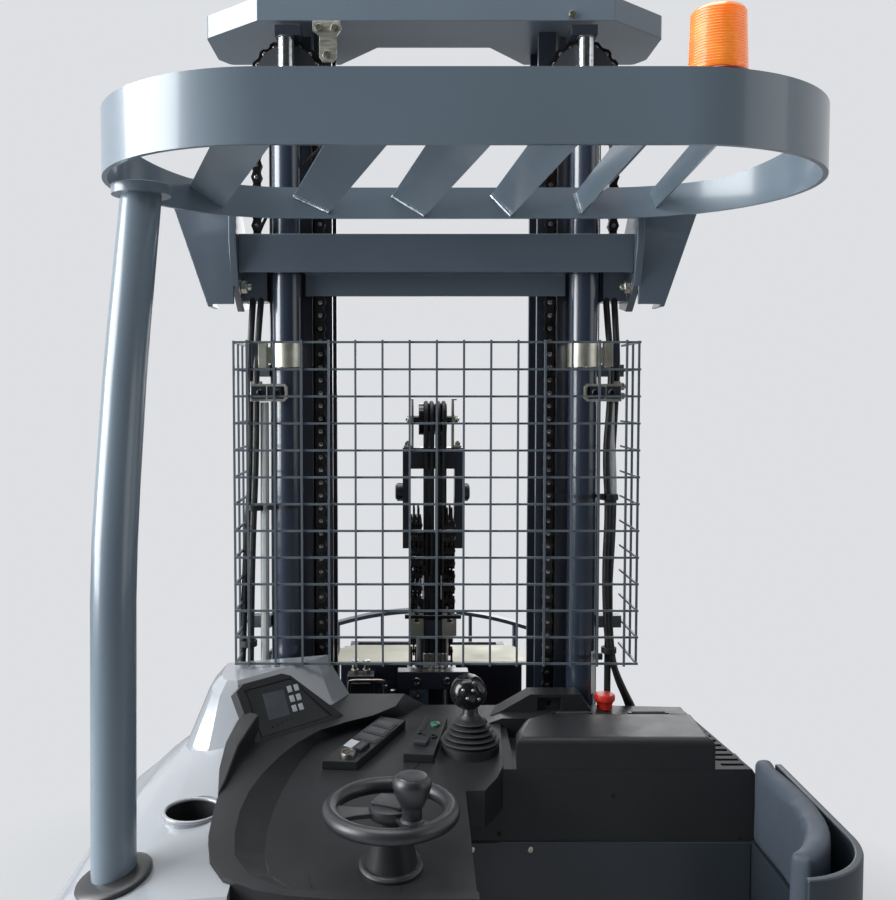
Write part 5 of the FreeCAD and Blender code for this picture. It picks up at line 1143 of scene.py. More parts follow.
@dataclass(frozen=True)
class LeafChain(Section):
    """Leaf chains of the mast: laced plates on riveted pins, over the sheaves and down to their anchors."""

    pitch: float = 25.4
    height: float = 22.0
    waist: float = 14.0
    layers: int = 5
    rivet: float = 4.4
    sheave_x: float = 290.0
    sheave_z: float = 2442.0
    sheave_line: float = 62.3
    sheave_links: int = 8
    side_y: float = 700.0
    lift_stack: float = 16.0
    free_stack: float = 24.0
    free_x: float = 35.0

    def link(self, name: str, first: int, stack: float) -> Piece:
        """Models one link, from the pin at the origin up to the next pin.

        Args:
            name: Name of the piece.
            first: First layer that it fills; it fills every second one from there.
            stack: Width of the whole stack in millimetres.

        Returns:
            The link, with its pins along Y.
        """
        half, step = self.height / 2, stack / self.layers
        side = [
            (half * math.cos(math.radians(a)), foot + half * math.sin(math.radians(a)))
            for foot, angles in ((0, (-90, -45, 0, 38)), (self.pitch, (-38, 0, 45, 90))) for a in angles
        ]
        side.insert(4, (self.waist / 2, self.pitch / 2))
        outline = side + [(-x, z) for x, z in reversed(side[1:-1])]
        return self.works.joined(name, [
            self.works.plate(
                f"{name}_{layer}", outline, step * 0.86,
                shift(0, (layer + 1 - self.layers / 2) * step, 0) @ turn(90, "X"), 0.0,
            )
            for layer in range(first, self.layers, 2)
        ])

    def pin(self, name: str, stack: float) -> Piece:
        """Models one riveted pin at the origin, along Y.

        Args:
            name: Name of the pin.
            stack: Width of the stack of plates that it holds.

        Returns:
            The pin.
        """
        half, end = stack / 2 + 0.9, self.rivet * 0.6
        shape = [(end, -half), (self.rivet, 0.9 - half), (self.rivet, half - 0.9), (end, half)]
        return self.works.turned(name, shape, Euler(Axis.Y.value).to_matrix().to_4x4(), 8)

    def strand(self, name: str, place: Matrix, length: float, stack: float) -> list[Piece]:
        """Builds the plates and the pins of one straight strand.

        Args:
            name: Name of the strand.
            place: Turn and place of its lower end.
            length: Length in millimetres.
            stack: Width of the stack of plates.

        Returns:
            The plates and the pins.
        """
        works, up = self.works, shift(0, 0, self.pitch)
        plates = [self.link(f"{name}_outer", 0, stack), works.put(self.link(f"{name}_inner", 1, stack), up)]
        pins = [self.pin(f"{name}_pin_a", stack), works.put(self.pin(f"{name}_pin_b", stack), up)]
        strand = [works.joined(f"{name}_plates", plates), works.joined(f"{name}_rivets", pins)]
        double = 2 * self.pitch
        count = max(1, round((length - self.height) / double))
        factor = (length - self.height) / (double * count)
        for piece in strand:
            works.apply(
                piece, "ARRAY", count=count, use_relative_offset=False, use_constant_offset=True,
                constant_offset_displace=(0.0, 0.0, double * MM),
            )
            works.put(piece, place @ shift(0, 0, self.height / 2) @ Matrix.Diagonal((1.0, 1.0, factor, 1.0)))
        return strand

    def pair(self, name: str, node: str, x: float, y: float, heights: tuple[float, float],
             bodies: tuple[str, str], blend: tuple[float, float], spin: float = 0.0) -> None:
        """Builds the strands of both sides, sized to run between their ends, and finishes them.

        Args:
            name: Name of the strands.
            node: CAD node that they stand for.
            x: Place of the right strand across.
            y: Place from the rear.
            heights: Lower and upper end in millimetres.
            bodies: The two bodies that the strands join; not used.
            blend: Heights in metres where the stretch starts and ends; not used.
            spin: Turn of the pins in degrees: 90 when they lie across the truck.
        """
        stack = self.free_stack if spin else self.lift_stack
        low, high = heights
        sides = [
            self.strand(f"{name}_{side}", self.works.spot(side * x, y, low, spin=spin), high - low, stack)
            for side in BOTH
        ]
        rows = ("plates", Finish.CHAIN, (node,)), ("rivets", Finish.RIVET, ())
        for (kind, finish, replaces), pieces in zip(rows, zip(*sides)):
            whole = self.works.joined(f"{name}_{kind}", pieces)
            self.works.span(whole, finish, bodies, blend, "chain_steel", replaces)

    def over_sheaves(self) -> None:
        """Bends the chains over the two sheaves of the middle stage."""
        works, count = self.works, self.sheave_links
        rim = {
            index: [
                works.spot(side * self.sheave_x, self.side_y, self.sheave_z)
                @ shift(self.sheave_line * math.cos(math.pi * index / count), 0,
                        self.sheave_line * math.sin(math.pi * index / count))
                for side in BOTH
            ]
            for index in range(count + 1)
        }
        plates = [
            works.repeat(
                self.link(f"sheave_chain_{first}", first, self.lift_stack),
                [place @ turn(-180 * (index + 0.5) / count, "Y") for index in range(first, count, 2)
                 for place in rim[index]],
            )
            for first in (0, 1)
        ]
        home = ("middle_stage", "chain_steel")
        works.ship_all("sheave_chain_plates", plates, Finish.CHAIN, *home)
        pins = [place for places in rim.values() for place in places]
        works.ship_copies(self.pin("sheave_chain_rivets", self.lift_stack), pins, Finish.RIVET, *home)

    def build(self) -> None:
        """Builds every chain of the mast."""
        outer, inner = self.sheave_x + self.sheave_line, self.sheave_x - self.sheave_line
        self.pair("lift_chain_outer", "outer_chains", outer, self.side_y, (2095.5, 2450.0),
                  ("chassis", "middle_stage"), (2.0953, 2.442))
        self.pair("lift_chain_inner", "inner_chains", inner, self.side_y, (430.0, 2450.0),
                  ("middle_stage", "inner_stage"), (2.442, 0.45))
        self.pair("free_chain_rear", "free_chains_rear", self.free_x, 817.0, (1340.5, 1580.0),
                  ("inner_stage", "lift_crosshead"), (1.3403, 1.57), 90.0)
        self.pair("free_chain_front", "free_chains_front", self.free_x, 904.0, (1211.5, 1580.0),
                  ("lift_crosshead", "mast_carriage"), (1.57, 1.2115), 90.0)
        self.over_sheaves()


# ------------------------------------------------------------------ trim of the mast


ON_MAST = ("chassis", "slate_paint")
HOSE_RUNS: tuple[tuple[Point, ...], ...] = (
    ((338, 690, 2010), (338, 672, 1960), (343, 655, 1880), (340, 652, 1800), (332, 654, 1700),
     (340, 656, 1600), (334, 655, 1480), (337, 655, 1380), (344, 655, 1310), (366, 655, 1250),
     (398, 652, 1190), (410, 640, 1130), (412, 625, 1110)),
    ((354, 690, 2010), (354, 674, 1960), (356, 662, 1880), (352, 660, 1800), (347, 664, 1680),
     (346, 664, 1560), (344, 660, 1440), (346, 660, 1340), (356, 660, 1270), (388, 656, 1200),
     (394, 640, 1130), (394, 625, 1112)),
    ((346, 676, 1800), (352, 676, 1700), (354, 674, 1580), (344, 668, 1420), (342, 660, 1300),
     (341, 656, 1200), (342, 642, 1140), (343, 625, 1116)),
    ((-344, 690, 2010), (-346, 672, 1960), (-350, 656, 1880), (-349, 652, 1800), (-352, 655, 1680),
     (-358, 656, 1560), (-362, 656, 1440), (-364, 655, 1320), (-366, 652, 1200), (-368, 640, 1130),
     (-369, 625, 1112)),
    ((-360, 690, 2010), (-361, 674, 1960), (-364, 664, 1880), (-362, 660, 1800), (-362, 664, 1680),
     (-371, 664, 1560), (-377, 664, 1440), (-380, 660, 1320), (-386, 655, 1200), (-388, 640, 1130),
     (-389, 625, 1112)),
)
SLEEVE_RUNS: tuple[tuple[Point, ...], ...] = (
    ((344, 660, 1806), (343, 660, 1740), (347, 662, 1680), (347, 662, 1622)),
    ((-335, 662, 1806), (-335, 662, 1700), (-336, 662, 1500), (-337, 662, 1290), (-338, 650, 1190)),
)
CABLE_RUNS: tuple[tuple[Point, ...], ...] = (
    ((-188, 690, 2330), (-215, 676, 2310), (-262, 662, 2262), (-318, 660, 2190), (-342, 664, 2140)),
)
VALVE_RUNS: tuple[tuple[Point, ...], ...] = (
    ((-184, 878, 1150), (-184, 874, 1184), (-180, 872, 1190), (-128, 872, 1190), (-108, 872, 1190),
     (-104, 872, 1184), (-104, 876, 1130), (-104, 880, 1100)),
    ((-128, 880, 1150), (-92, 878, 1150), (-86, 877, 1154), (-86, 876, 1176), (-86, 878, 1120),
     (-86, 882, 1090)),
    ((-128, 888, 1136), (-100, 888, 1134), (-80, 890, 1128), (-70, 894, 1118)),
)


@dataclass(frozen=True)
class MastTrim(Section):
    """Collars, clamps, hoses, label, brackets and bolts of the mast."""

    cylinder_x: float = 290.0
    cylinder_y: float = 671.0
    cylinder_radius: float = 28.5
    hose_radius: float = 6.5
    sleeve_radius: float = 8.5
    cable_radius: float = 3.2
    collar_foot: float = 1874.0
    collar_height: float = 48.0
    clamp_x: float = 322.0
    clamp_z: float = 1825.0
    bracket_x: float = -211.0
    rod_top: float = 2509.7
    hub_y: float = 687.6
    sheave_z: float = 2442.0
    bolt_x: float = 392.0
    nut_x: float = 378.0
    strap: Outline = ((-36, -17), (-12, -17), (30, -17), (36, -11), (36, 11), (30, 17), (-12, 17), (-36, 17),
                      (-36, 12), (28, 12), (31, 9), (31, -9), (28, -12), (-36, -12))
    flag: Outline = ((-27, 0), (27, 0), (27, -16), (20, -26), (20, -66), (13, -76), (-8, -76), (-14, -66),
                     (-14, -26), (-27, -16))

    def collars(self) -> None:
        """Fits the cream collars round the cylinders, with their clamp blocks and pads."""
        works, low, high = self.works, self.collar_foot, self.collar_height
        radius = self.cylinder_radius + 1.6
        profile = [(radius - 0.8, 0), (radius, 1), (radius, high - 1), (radius - 0.8, high)]
        block, ear, pad = (works.facing(0, y, low) for y in (676, 672, 674))
        pieces, pads = [], []
        for side in BOTH:
            place = works.spot(side * self.cylinder_x, self.cylinder_y, low)
            pieces += [
                works.turned("cylinder_collars", profile, place, 40),
                works.plate("collar_block", beside(side, 329, 345, 0, high), 26, block, 1.0),
                works.plate("collar_ear", beside(side, 306, 346, 8, 40), 5, ear, 0.8),
            ]
            pads.append(works.plate("collar_pads", beside(side, 345.5, 359, 0, high), 20, pad, 1.0))
        works.ship_all("cylinder_collars", pieces, Finish.CREAM, *ON_MAST)
        works.ship_all("collar_pads", pads, Finish.MAST, *ON_MAST)

    def clamps(self) -> None:
        """Fits the hose clamps under the collars: a bent strap, dark plates and their screws."""
        works, x, z = self.works, self.clamp_x, self.clamp_z
        straps, plates, nuts, screws = [], [], [], []
        block = works.facing(0, 672, z + 3)
        for side in BOTH:
            strap = [(-side * across, up) for across, up in self.strap]
            straps += [
                works.plate("hose_straps", strap, 12, works.facing(side * x, 642, z), 0.8),
                works.plate("clamp_block", beside(side, 340, 361, -19, 19), 22, block, 1.6),
            ]
            plates += [
                works.plate("clamp_plates", beside(-side, near, far, -12, 12), depth,
                            works.facing(side * x, 643, z), 1.2)
                for near, far, depth in ((-34, -6, 16), (-4, 24, 12))
            ]
            nuts += [works.spot(side * 362, 664, z + 3 + rise, Axis.X, 15) for rise in (-9, 9)]
            screws += [works.spot(side * across, 627.5, z, Axis.Y) @ turn(180, "X") for across in (306, 338)]
        works.ship_all("hose_straps", straps, Finish.CREAM, *ON_MAST)
        works.ship_all("clamp_plates", plates, Finish.MAST, *ON_MAST)
        works.ship_copies(works.bolt("clamp_nuts", 15, 7, 5), nuts, Finish.ZINC, *ON_MAST)
        screw = works.turned("clamp_screws", [(6.5, 0), (6.5, 3), (5.5, 4), (2.6, 4), (2.4, 1.6)], sides=16)
        works.ship_copies(screw, screws, Finish.HEAD, *ON_MAST)

    def ties(self) -> None:
        """Ties the hoses together and to the cylinders."""
        works, radius = self.works, self.cylinder_radius + 1.2
        ties = [
            works.turned("hose_ties", [(r - 1, -6), (r, -5), (r, 5), (r - 1, 6)], works.spot(x, y, z), 20)
            for x, y, z, r in (
                (343, 661, 1620, 17), (344, 659, 1316, 15), (-355, 660, 1600, 18), (-369, 658, 1330, 17)
            )
        ]
        for side, z in ((1, 1622), (1, 1306), (-1, 1602)):
            place = works.spot(side * self.cylinder_x, self.cylinder_y, z)
            ties.append(works.turned("hose_ties", [(radius, -3), (radius, 3)], place, 36))
            place = works.facing(side * self.clamp_x, 652, z)
            ties.append(works.plate("tie_knots", rect(-7, 7, -6, 6), 9, place, 1.5))
        works.ship_all("hose_ties", ties, Finish.HOSE)

    def head(self) -> None:
        """Fits the cream bracket under the mast head, with its screws, the rod nuts and the sheaves' hubs."""
        works, x = self.works, self.bracket_x
        bracket = [
            works.plate("head_bracket", self.flag, 4, works.facing(x, 668, 2538), 0.8),
            works.plate("head_bracket_top", rect(-27, 27, 0, 40), 3, works.spot(x, 664, 2537.5), 0.8),
        ]
        works.ship_all("head_bracket", bracket, Finish.CREAM, "inner_stage", "slate_paint")
        screws = [works.facing(x, 664, z) for x, z in ((-226, 2527), (-196, 2527), (-211, 2476), (262, 2552))]
        works.ship_copies(works.bolt("head_screws", 13, 5), screws, Finish.ZINC, "inner_stage", "slate_paint")
        caps = [works.spot(side * self.cylinder_x, self.cylinder_y, self.rod_top) for side in BOTH]
        works.ship_copies(works.bolt("rod_nuts", 30, 11, 6), caps, Finish.ZINC, "middle_stage", "rod_chrome")
        hubs = [
            works.spot(side * self.cylinder_x, self.hub_y, self.sheave_z, Axis.Y) @ turn(180, "X")
            for side in BOTH
        ]
        hub = works.turned("sheave_hubs", [(26, 0), (26, 3), (23, 5), (16, 5), (15, 8), (12, 9)])
        works.ship_copies(hub, hubs, Finish.WORN, "middle_stage", "cast_dark")

    def bolts(self) -> None:
        """Bolts the guard's brackets to the mast, with their nuts inside."""
        works = self.works
        bolts = [
            works.sided(side, x, 650, z, spin, x == self.nut_x)
            for x, spin in ((self.bolt_x, 10), (self.nut_x, 25)) for side in BOTH for z in (2117, 2029)
        ]
        works.ship_copies(works.bolt("bracket_bolts", 24, 13, 8), bolts, Finish.ZINC, *ON_MAST)

    def build(self) -> None:
        """Builds the trim."""
        works = self.works
        self.collars()
        self.clamps()
        works.ship_pipes("mast_hoses", HOSE_RUNS, self.hose_radius, Finish.HOSE)
        self.ties()
        works.ship_pipes("hose_sleeves", SLEEVE_RUNS, self.sleeve_radius, Finish.SLEEVE)
        place = works.facing(312.2, 652.2, 1231, 50)
        sticker = works.plate("cylinder_label", rect(-8, 8, 0, 85), 0.5, place, 0.15)
        works.ship(sticker, Finish.LABEL, "chassis", "light_cover")
        self.head()
        works.ship_pipes("guard_cable", CABLE_RUNS, self.cable_radius, Finish.HOSE)
        self.bolts()


@dataclass(frozen=True)
class FreeLiftTrim(Section):
    """Pulley unit, hoses, chain anchors and manifold in the middle of the mast."""

    drum_z: float = 1767.0
    drum_radius: float = 34.0
    groove_depth: float = 5.0
    centre_y: float = 860.0
    unit_half: float = 43.5
    unit_foot: float = 1706.5
    unit_top: float = 1811.0
    boss_z: float = 1609.0
    hose_radius: float = 5.2
    hose_xs: tuple[float, ...] = (-14.0, -2.0, 12.0, 24.0)
    hose_zs: tuple[float, ...] = (1300.0, 1420.0, 1540.0, 1660.0, 1740.0)
    cheek: Outline = ((-20, 1706.4), (20, 1706.4), (20, 1781.5), (10, 1811.5), (-10, 1811.5), (-20, 1781.5))
    anchor: Outline = ((-15, 0), (15, 0), (15, 52), (5, 52), (5, 32), (-5, 32), (-5, 52), (-15, 52))

    def pulleys(self) -> None:
        """Builds the grooved hose drum between its cheeks."""
        works, y, home = self.works, self.centre_y, ("lift_crosshead", "cast_dark")
        rim, floor = self.drum_radius, self.drum_radius - self.groove_depth
        groove = [(rim, -30.0)]
        for x in self.hose_xs:
            groove += [(rim, x - 6.0), (floor, x - 3.0), (floor, x + 3.0)]
        groove.append((rim, 30.0))
        place = works.spot(0, y, self.drum_z, Axis.X)
        axle = works.turned("hose_axle", [(8, -47), (8, 47)], place, 20)
        drum = works.joined("hose_drum", [works.turned("hose_drum", groove, place, 40), axle])
        works.ship(drum, Finish.HEAD, *home, replaces=("hose_pulleys",))
        cheeks = []
        foot, lip = (works.spot(0, y, z) for z in (self.unit_foot, self.unit_top - 3))
        for side in BOTH:
            upright = works.spot(side * self.unit_half - 2.5, y, 0) @ turn(90, "Z") @ turn(90, "X")
            cheeks += [
                works.plate("pulley_cheeks", self.cheek, 5, upright, 0.8),
                works.plate("cheek_foot", beside(side, 43, 62, -20, 20), 4, foot, 0.6),
                works.plate("cheek_lip", beside(side, 43, 52, -10, 10), 3, lip, 0.5),
            ]
        works.ship_all("pulley_cheeks", cheeks, Finish.CREAM, *home)
        bolts = [works.spot(side * 54, y - 8, self.unit_foot + 4) for side in BOTH]
        works.ship_copies(works.bolt("cheek_bolts", 13, 6, 3), bolts, Finish.ZINC, *home)
        ends = [works.sided(side, 47, y, self.drum_z) for side in BOTH]
        works.ship_copies(works.bolt("axle_nuts", 18, 7, 3), ends, Finish.ZINC, *home)

    def hoses(self) -> None:
        """Lays the hoses from the manifold up over the drum and down to the carriage."""
        works, y, line = self.works, self.centre_y, self.drum_radius + 1.0
        arc = [(line * math.cos(math.radians(a)), self.drum_z + line * math.sin(math.radians(a)))
               for a in range(0, 91, 15)]
        for name, way, foot, bodies, blend in (
            ("free_hoses_rear", -1, 1234.0, ("inner_stage", "lift_crosshead"), (1.3, 1.74)),
            ("free_hoses_front", 1, 1213.0, ("lift_crosshead", "mast_carriage"), (1.74, 1.3)),
        ):
            run = [(y + way * line, z) for z in (foot, *self.hose_zs)]
            run += [(y + way * away, z) for away, z in arc]
            hoses = [
                works.pipe(name, [works.at(x, *point) for point in run[::-way]], self.hose_radius, taut=True)
                for x in self.hose_xs
            ]
            works.span(works.joined(name, hoses), Finish.HOSE, bodies, blend)

    def anchors(self) -> None:
        """Caps the crosshead's side bosses and fits the cream chain anchors with their cross pin."""
        works, home = self.works, ("inner_stage", "mast_paint")
        caps = [works.sided(side, 76.5, self.centre_y, self.boss_z) for side in BOTH]
        cap = works.turned("boss_caps", [(17, 0), (17, 2), (13, 4), (6, 4), (5, 2)], sides=28)
        works.ship_copies(cap, caps, Finish.CAST, "lift_crosshead", "mast_paint")
        block = works.plate("chain_anchors", self.anchor, 6, edge=1.0)
        works.ship_copies(block, [works.facing(x, 809, 1304) for x in (-35, 35)], Finish.CREAM, *home)
        shape = [(4, -60), (5, -59), (5, 59), (4, 60)]
        pin = works.turned("anchor_pins", shape, works.spot(0, 806, 1348, Axis.X), 16)
        works.ship(pin, Finish.HEAD, *home)

    def manifold(self) -> None:
        """Screws the fittings, ports, valve column and its plugs to the manifold."""
        works, home = self.works, ("inner_stage", "cast_dark")
        fitting = works.joined("manifold_fittings", [
            works.turned("hose_fitting", [(7, 0), (8, 1), (8, 8), (7, 9)], sides=6),
            works.turned("hose_ferrule", [(5, 9), (6.6, 10), (6.6, 30), (5.6, 32)], sides=20),
        ])
        works.ship_copies(fitting, [works.spot(x, 825, 1233) for x in self.hose_xs], Finish.ZINC, *home)
        port = works.turned("manifold_ports", [(9, 0), (9, 3), (7.5, 5), (5, 5), (4, 2)], sides=28)
        works.ship_copies(port, [works.facing(x, 790.7, 1213) for x in (-34, 30)], Finish.RIVET, *home)
        stack = works.plate("valve_column", rect(-20, 20, 0, 78), 30, works.facing(-30, 822, 1117), 2.0)
        works.ship(stack, Finish.VALVE, *home)
        plug = works.turned("valve_plugs", [(9, 0), (9, 2), (8, 4), (4, 4), (3, 2)], sides=6)
        plugs = [works.facing(-34, 792, z) for z in (1184, 1168, 1146, 1130)]
        works.ship_copies(plug, plugs, Finish.ZINC, *home)

    def build(self) -> None:
        """Builds the trim of the free lift."""
        self.pulleys()
        self.hoses()
        self.anchors()
        self.manifold()


@dataclass(frozen=True)
class CarriageTrim(Section):
    """Top plate, valve block and pipes of the reach carriage."""

    top: Outline = ((-214, 932), (214, 932), (214, 1048), (184, 1078), (-184, 1078), (-214, 1048))
    top_z: float = 1211.3

    def build(self) -> None:
        """Lays the bright top plate, and bolts the valve block to the rear with its fittings and pipes."""
        works, home = self.works, ("mast_carriage", "mast_paint")
        top = works.plate("carriage_top", self.top, 4, works.spot(0, 0, self.top_z), 1.0)
        works.ship(top, Finish.TOP_PLATE, *home)
        works.ship_all("valve_block", [
            works.plate("valve_block", rect(-188, -128, 1128, 1196), 44, works.facing(0, 929, 0), 2.0),
            works.plate("valve_rib", rect(-180, -136, 1142, 1182), 8, works.facing(0, 885, 0), 2.0),
        ], Finish.CAST, *home)
        fitting = works.joined("valve_fittings", [
            works.turned("valve_nut", [(9, 0), (10, 1), (10, 9), (9, 10)], sides=6),
            works.turned("valve_stem", [(6, 10), (6, 22), (8, 23), (8, 30), (5, 32)], sides=20),
        ])
        works.ship_copies(fitting, [works.spot(x, 906, 1196) for x in (-172, -146)], Finish.ZINC, *home)
        works.ship_pipes("valve_pipes", VALVE_RUNS, 3.6, Finish.WORN, *home)
        union = works.turned("pipe_unions", [(5, 0), (6.5, 1), (6.5, 9), (5, 10)], sides=6)
        unions = [works.spot(x, 873, z) for x, z in ((-104, 1170), (-104, 1104), (-86, 1160), (-86, 1100))]
        works.ship_copies(union, unions, Finish.ZINC, *home)


# ------------------------------------------------------------------ console


@dataclass(frozen=True)
class Steering(Section):
    """Steering wheel with its dished spokes, hub cap and knob, and the foot ring of its column."""

    x: float = -80.0
    y: float = 126.0
    z: float = 1227.0
    radius: float = 88.0
    rim: float = 12.0
    spoke: Outline = ((-12, 20), (12, 20), (15, 52), (25, 82), (-25, 82), (-15, 52))
    hub: Outline = ((24, -12), (30, -10), (33, -2), (31, 6), (24, 9), (12, 10))
    knob: Outline = ((17, 4), (17, 9), (14, 12), (14, 27), (17, 31), (23, 44), (27, 57), (27.5, 62), (26, 68),
                     (22, 71.5), (21, 71), (20.5, 72), (16, 73.2), (8, 73.6))
    foot: Outline = ((45, -4), (47, -2), (47, 4), (44, 7), (41, 8))

    def build(self) -> None:
        """Builds the steering, standing for its CAD node."""
        works, x, y, z = self.works, self.x, self.y, self.z
        cap = works.plate("wheel_cap", rect(-24, 24, -17, 17), 7, works.spot(x, y, z + 8, spin=-24), 2.5)
        parts = [
            works.ring("steering_wheel", self.radius, self.rim, works.at(x, y, z)),
            works.turned("wheel_hub", self.hub, works.spot(x, y, z), 36), cap,
        ]
        parts += [
            works.plate("wheel_spoke", self.spoke, 7, works.spot(x, y, z - 7, spin=angle) @ turn(2, "X"), 2.0)
            for angle in (100, 215, 330)
        ]
        home = ("steering", "black_plastic", 40.0)
        works.ship_all("steering_wheel", parts, Finish.GRIP, *home, ("steering_wheel",))
        works.ship(works.turned("steering_knob", self.knob, works.spot(-50, 71, z), 44), Finish.GRIP, *home)
        works.ship(works.turned("column_ring", self.foot, works.on_deck(x, y), 48), Finish.GRIP)


@dataclass(frozen=True)
class Lever(Section):
    """Multi-function lever: folded bellows, neck and glossy head with its buttons."""

    x: float = 57.0
    y: float = 467.0
    z: float = 1190.0
    folds: int = 5
    foot: float = 53.0
    top: float = 31.0
    fold_height: float = 8.2
    head_radius: float = 33.0
    neck: Outline = ((15, 55), (16, 60), (14, 64), (13, 78), (18, 84))
    button: Outline = ((2.6, -2), (2.6, 0.6), (1.9, 1.2), (0.9, 1.2), (0.8, 0.4))
    buttons: tuple[Point, ...] = ((8, -31, 9), (-9, -30, 12), (16, -27, -9), (-4, -32.5, -3), (12, -24, 20))

    def bellows(self) -> Outline:
        """Draws the folded bellows, narrower from fold to fold.

        Returns:
            The outline from the foot up to the neck.
        """
        shape = [(self.foot - 1, -10), (self.foot - 1, 9), (self.foot - 4, 11)]
        height = 12.0
        for fold in range(self.folds):
            edge = self.foot + (self.top - self.foot) * fold / (self.folds - 1)
            shape += [(edge - inset, height + up) for inset, up in ((8, 0), (1.5, 2), (0, 4), (1.5, 6))]
            height += self.fold_height
        return shape + [(self.top - 9, height + 1), (18, height + 4), (16, height + 9)]

    def build(self) -> None:
        """Builds the lever, standing for its CAD node."""
        works, foot = self.works, self.works.spot(self.x, self.y, self.z)
        home = ("chassis", "black_plastic", 50.0)
        bellows = works.turned("lever_bellows", self.bellows(), foot, 48)
        works.ship(bellows, Finish.BELLOWS, *home, ("joystick",))
        works.ship(works.turned("lever_neck", self.neck, foot), Finish.GRIP)
        turns = [math.radians(degrees) for degrees in range(24, 168, 12)]
        globe = [(self.head_radius * math.sin(a), -self.head_radius * math.cos(a)) for a in turns]
        head = works.turned("lever_head", globe, sides=40)
        works.select_faces(head, lambda centre, normal: centre.z > 0.012)
        bpy.ops.transform.resize(value=(0.94, 1.0, 0.88), center_override=(0.0, 0.0, 0.012))
        works.select_faces(head, lambda centre, normal: normal.y < -0.72 and abs(centre.z) < 0.02)
        bpy.ops.mesh.inset(thickness=0.002, depth=-0.0015)
        tilt = works.spot(self.x - 4, self.y - 2, self.z + 104) @ turn(-9, "Y")
        works.ship(works.put(head, tilt), Finish.HEAD, *home)
        button = works.turned("lever_screws", self.button, sides=14)
        places = [tilt @ shift(*place) @ turn(90, "X") for place in self.buttons]
        works.ship_copies(button, places, Finish.ZINC)


@dataclass(frozen=True)
class Switches(Section):
    """Two sloped switch panels with their key switch, rockers, blank windows and indicator."""

    first: tuple[float, float, float] = (-127.0, 469.0, -29.7)
    second: tuple[float, float, float] = (-17.8, 486.5, -14.5)
    rise: float = 15.0

    def on(self, panel: tuple[float, float, float], across: float, along: float, lift: float = 0.0) -> Matrix:
        """Place on a panel: millimetres across and along it from its middle, and over it."""
        x, y, spin = panel
        return self.works.on_deck(x, y, self.rise, spin) @ shift(across, along, lift)

    def tile(self, name: str, panel: tuple[float, float, float], place: tuple[float, float],
             size: tuple[float, float], depth: float, edge: float = 0.8) -> Piece:
        """Cuts a rectangular tile that stands on a panel.

        Args:
            name: Name of the tile.
            panel: Panel that it stands on.
            place: Millimetres across and along the panel.
            size: Width and length.
            depth: Thickness.
            edge: Rounding of its edges.

        Returns:
            The tile, in place.
        """
        width, length = size
        outline = rect(-width / 2, width / 2, -length / 2, length / 2)
        return self.works.plate(name, outline, depth, self.on(panel, *place, -0.6), edge)

    def build(self) -> None:
        """Builds the panels' trim."""
        works, first, second = self.works, self.first, self.second
        rows = ((2, 46, 38), (32, 44, 36), (61, 41, 33))
        frames = [self.tile("panel_frames", first, (0, along), (width, 26), 2.2) for along, width, _ in rows]
        frames.append(self.tile("panel_frames", second, (-15, 30), (8, 46), 2.2))
        works.ship_all("panel_frames", frames, Finish.BLACK)
        inlays = [
            self.tile("panel_inlays", first, (0, along), (width, 18), 3.2, 1.4) for along, _, width in rows
        ]
        works.ship_all("panel_inlays", inlays, Finish.INLAY)
        rockers = [self.tile("rockers", first, (9, -33), (18, 30), 8.0, 2.5),
                   self.tile("rockers", second, (-4, -34), (25, 26), 9.0, 3.0)]
        for rocker in rockers:
            works.select_faces(rocker, lambda centre, normal: normal.z > 0.9)
            bpy.ops.mesh.inset(thickness=0.0025, depth=-0.0012)
        works.ship_all("rockers", rockers, Finish.INLAY)
        tag = self.tile("key_tag", first, (-14, -30), (18, 26), 2.4)
        works.ship(tag, Finish.KEY, "chassis", "light_cover")
        switch = works.joined("key_switch", [
            works.turned("key_switch", [(14, 0), (14, 5), (12.5, 8), (9, 8), (8.5, 6.5), (3, 6.5)], sides=36),
            works.plate("key_slot", rect(-1.2, 1.2, -6, 6), 7.4, edge=0.3),
        ])
        works.ship_copies(switch, [self.on(first, 3, -67)], Finish.WORN)
        lamp = works.turned("indicator", [(9, 0), (9, 3), (7, 5), (4, 5.6)], self.on(second, 5, 36), 28)
        works.ship(lamp, Finish.INDICATOR)
        socket = works.turned("panel_socket", [(7, 0), (7, 2.4), (5.5, 3), (4, 3), (4, 0.4)], sides=24)
        works.ship_copies(socket, [self.on(second, across, -8) for across in (12, -12)], Finish.SEAM)


